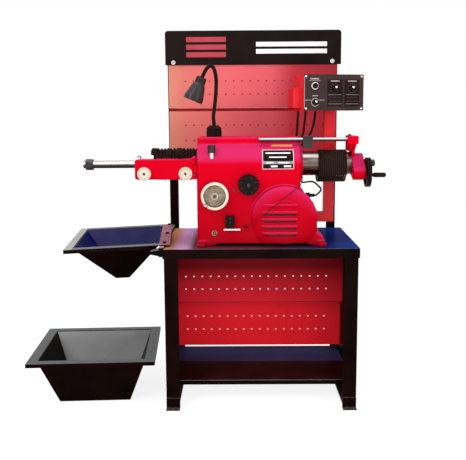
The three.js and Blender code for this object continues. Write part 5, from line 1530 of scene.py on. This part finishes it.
for knob, body, x, z in (("speed_knob", "speed", 3.6, 19), ("feed_knob", "feed", 71.6, 19),
                         ("mode_selector", "mode_knob", -74.7, -34)):
    piece(knob + "_cap", screw_head(x, -18.4, z, 4.2, 2, "y"), chrome, body, PANEL)
panel_screws = [screw_head(x, -3.3, z, 3.6, 1.6, "y") for x in (-110, 110) for z in (-59, 59)]
piece("panel_screws", merged(*panel_screws), chrome, place=PANEL)
print("panel screws:", len(panel_screws))

# %% [markdown]
# The name plate and the brass strip follow the shoulder of the casting, and carry plain bars and blocks
# of colour. A shrinkwrapped sheet could follow it too, but the shoulder's outline is known, so the
# plates are worked out from it and stand off by tenths of a millimetre.

# %% Plates on the casting
def front_y(z):
    """Where the casting's front stands at a height, along the outline of its shoulder."""
    share = min(max((z - SHOULDER_LOW) / SHOULDER_RISE, 0), 1)
    for (y0, z0), (y1, z1) in zip(shoulder_shares, shoulder_shares[1:]):
        if share <= z1:
            return CAST_FRONT + (SPINE_FRONT - CAST_FRONT) * (y0 + (y1 - y0) * (share - z0) / (z1 - z0))
    return SPINE_FRONT


def strip(x0, x1, z0, z1, lift):
    """A thin plate that follows the casting's front between two heights."""
    steps = [z0 + (z1 - z0) * k / 16 for k in range(17)]
    outer = [(front_y(z) - lift, z + 0.4 * lift) for z in steps]
    inner = [(front_y(z) + 3, z) for z in steps]
    return extruded(outer + inner[::-1], x0, x1, "x")


piece("name_plate_border", strip(6, 118, 868, 936, 1.6), machined_iron, angle=60)
piece("name_plate_field", strip(8.5, 115.5, 870.2, 933.8, 2.0), sign_black, angle=60)
piece("name_plate_band", strip(8.5, 115.5, 886, 896, 2.3), grey_ink, angle=60)
plate_bars = [
    (18, 106, 922, 926), (30, 92, 908, 912), (20, 46, 888.5, 892.5), (62, 100, 888.5, 892.5),
    (36, 60, 875, 881), (82, 108, 875, 881),
]
piece("name_plate_bars", merged(*[strip(*b, 2.4) for b in plate_bars]), white_ink, angle=60)
piece("brass_strip", strip(40, 115, 947, 953, 1.6), brass, angle=60)
print("plates done")

# %% [markdown]
# The sign board carries three red and two white stripes, planted by the row of bars, and two chromed
# bolts with washers near its ends.

# %% Sign stripes and bolts
piece("sign_stripes_red", row((161, 0.6, 20), 3, (0, 0, 30), (-206.5, 499.8, 1304)), red_ink)
piece("sign_stripes_white", row((287, 0.6, 18), 2, (0, 0, 28), (139.5, 499.8, 1316)), white_ink)
sign_bolts = []
for x, z in ((-340, 1273.2), (304.6, 1275.6)):
    sign_bolts += [
        disc(8.5, 496.5, 500, "y", (x, 0, z), 32, bore=4.5),
        screw_head(x, 500, z, 4.6, 2.6, "y"),
    ]
piece("sign_bolts", merged(*sign_bolts), chrome)
print("sign done")

# %% [markdown]
# Small fasteners tell the eye how a machine is held together: bolts in the feet, a screw on the feed
# bracket, a drain plug and a few dark bolts in front. They are turned like the other heads.

# %% Fasteners
foot_bolts = [
    lathe([(0, 0), (5.5, 0), (5.5, 3.5), (0, 4.5)], "z", (side * x, -10, 6), 6)
    for side in (-1, 1) for x in (332, 312)
]
piece("foot_bolts", merged(*foot_bolts), grey_iron)
bracket_screw = lathe([
    (0, 982.5), (7.5, 982.5), (7.5, 985.5), (4.5, 986.5), (4.5, 990), (0, 990),
], "z", (320, 97, 0), 24)
piece("bracket_screw", bracket_screw, blackened_steel, "quill_unit")
drain = merged(
    lathe([(6.8, 47), (9, 46.4), (10, 47.4), (10, 51), (6.8, 51)], "y", (-166, 0, 641), 32),
    lathe([(0, 46), (2.6, 46), (3.2, 47), (3.2, 51), (0, 51)], "y", (-166, 0, 641), 24))
piece("drain_plug", drain, brown_aluminium)
front_bolts = [
    screw_head(-343, 512, 1082, 5, 4, "y", 6), screw_head(-95, 50.4, 795, 5, 3, "y"),
    screw_head(-166, 50.4, 641, 6, 2, "y", 6), screw_head(-109, 29.8, 696, 3, 1.5, "y"),
    screw_head(-110, 29.8, 680, 3, 1.5, "y"),
]
piece("front_bolts", merged(*front_bolts), blackened_steel)
print("fasteners done")

# %% [markdown]
# The studio floor looks nearly as white as the background and still catches the object's shadow.
# Brighter lamps would wash the object out. Light Path tells the rays apart instead: for the camera and
# for mirrors the floor glows over a grey paint that takes the shadow, and for all other light it is
# plain white paint.

# %% Floor
FLOOR_REACH = 6


def seen_directly(tree):
    """1 for rays from the camera and those that a mirror or glass sends on, 0 for other light."""
    path = add(tree, "ShaderNodeLightPath").outputs
    sent = add(tree, "ShaderNodeMath", {
        0: path["Is Glossy Ray"], 1: path["Is Transmission Ray"],
    }, operation="MAXIMUM")
    seen = add(tree, "ShaderNodeMath", {
        0: path["Is Camera Ray"], 1: sent.outputs[0],
    }, operation="MAXIMUM")
    return seen.outputs[0]


floor_mesh = bpy.data.meshes.new("floor")
floor_mesh.from_pydata([
    (x * FLOOR_REACH, y * FLOOR_REACH, 0) for x, y in ((-1, -1), (1, -1), (1, 1), (-1, 1))
], [], [(0, 1, 2, 3)])
floor = in_scene("floor", floor_mesh)
floor_material, tree = blank_material("white_studio_floor")
white_paint = add(tree, "ShaderNodeBsdfDiffuse", {"Color": linear("#F2F2F2")})
glow = add(tree, "ShaderNodeEmission", {"Color": linear("#FFFFFF"), "Strength": 0.86})
shadowed = add(tree, "ShaderNodeBsdfDiffuse", {"Color": linear("#8A8A8A")})
studio_white = add(tree, "ShaderNodeAddShader", {0: glow.outputs[0], 1: shadowed.outputs[0]})
mixed = add(tree, "ShaderNodeMixShader", {
    0: seen_directly(tree), 1: white_paint.outputs[0], 2: studio_white.outputs[0],
})
add(tree, "ShaderNodeOutputMaterial", {"Surface": mixed.outputs[0]})
floor_mesh.materials.append(floor_material)
print("floor:", 2 * FLOOR_REACH, "m wide")

# %% [markdown]
# The world works the same way: pure white for the camera and for mirrors, and about half as bright as
# light on the object, so that its colours stay as deep as they are written.

# %% World
world = bpy.data.worlds.new("studio")
bpy.context.scene.world = world
world.use_nodes = True
tree = world.node_tree
tree.nodes.clear()
ambient = add(tree, "ShaderNodeBackground", {"Color": linear("#FFFFFF"), "Strength": 0.55})
white = add(tree, "ShaderNodeBackground", {"Color": linear("#FFFFFF"), "Strength": 1.0})
mixed = add(tree, "ShaderNodeMixShader", {
    0: seen_directly(tree), 1: ambient.outputs[0], 2: white.outputs[0],
})
add(tree, "ShaderNodeOutputWorld", {"Surface": mixed.outputs[0]})
print("world:", world.name)

# %% [markdown]
# Four soft boxes light the object: the key from the left front, a fill from the right, one above, and
# a weak low one for what stands under the bench. Point lamps would be simpler, but large lights give
# softer shadows. The Standard view shows a hex colour about as it is written.

# %% Soft boxes
def softbox(name, place, target, width, height, power):
    """A rectangular studio light that faces a target."""
    data = bpy.data.lights.new(name, "AREA")
    data.shape = "RECTANGLE"
    data.size = width
    data.size_y = height
    data.energy = power
    light = in_scene(name, data)
    light.location = place
    light.rotation_euler = (Vector(target) - Vector(place)).to_track_quat("-Z", "Y").to_euler()


softbox("key_light", (-1.6, -2.4, 2.6), (0.1, 0, 0.8), 1.6, 1.6, 56)
softbox("fill_light", (2.2, -2.2, 1.6), (0.2, 0, 0.8), 1.4, 1.8, 26)
softbox("top_light", (0.1, -0.3, 3.0), (0.2, 0, 0.8), 1.8, 1.2, 25)
softbox("low_light", (0.3, -2.6, 0.25), (0.2, 0, 0.1), 1.8, 0.4, 17)
bpy.context.scene.view_settings.view_transform = "Standard"
print("lights:", len(bpy.data.lights))
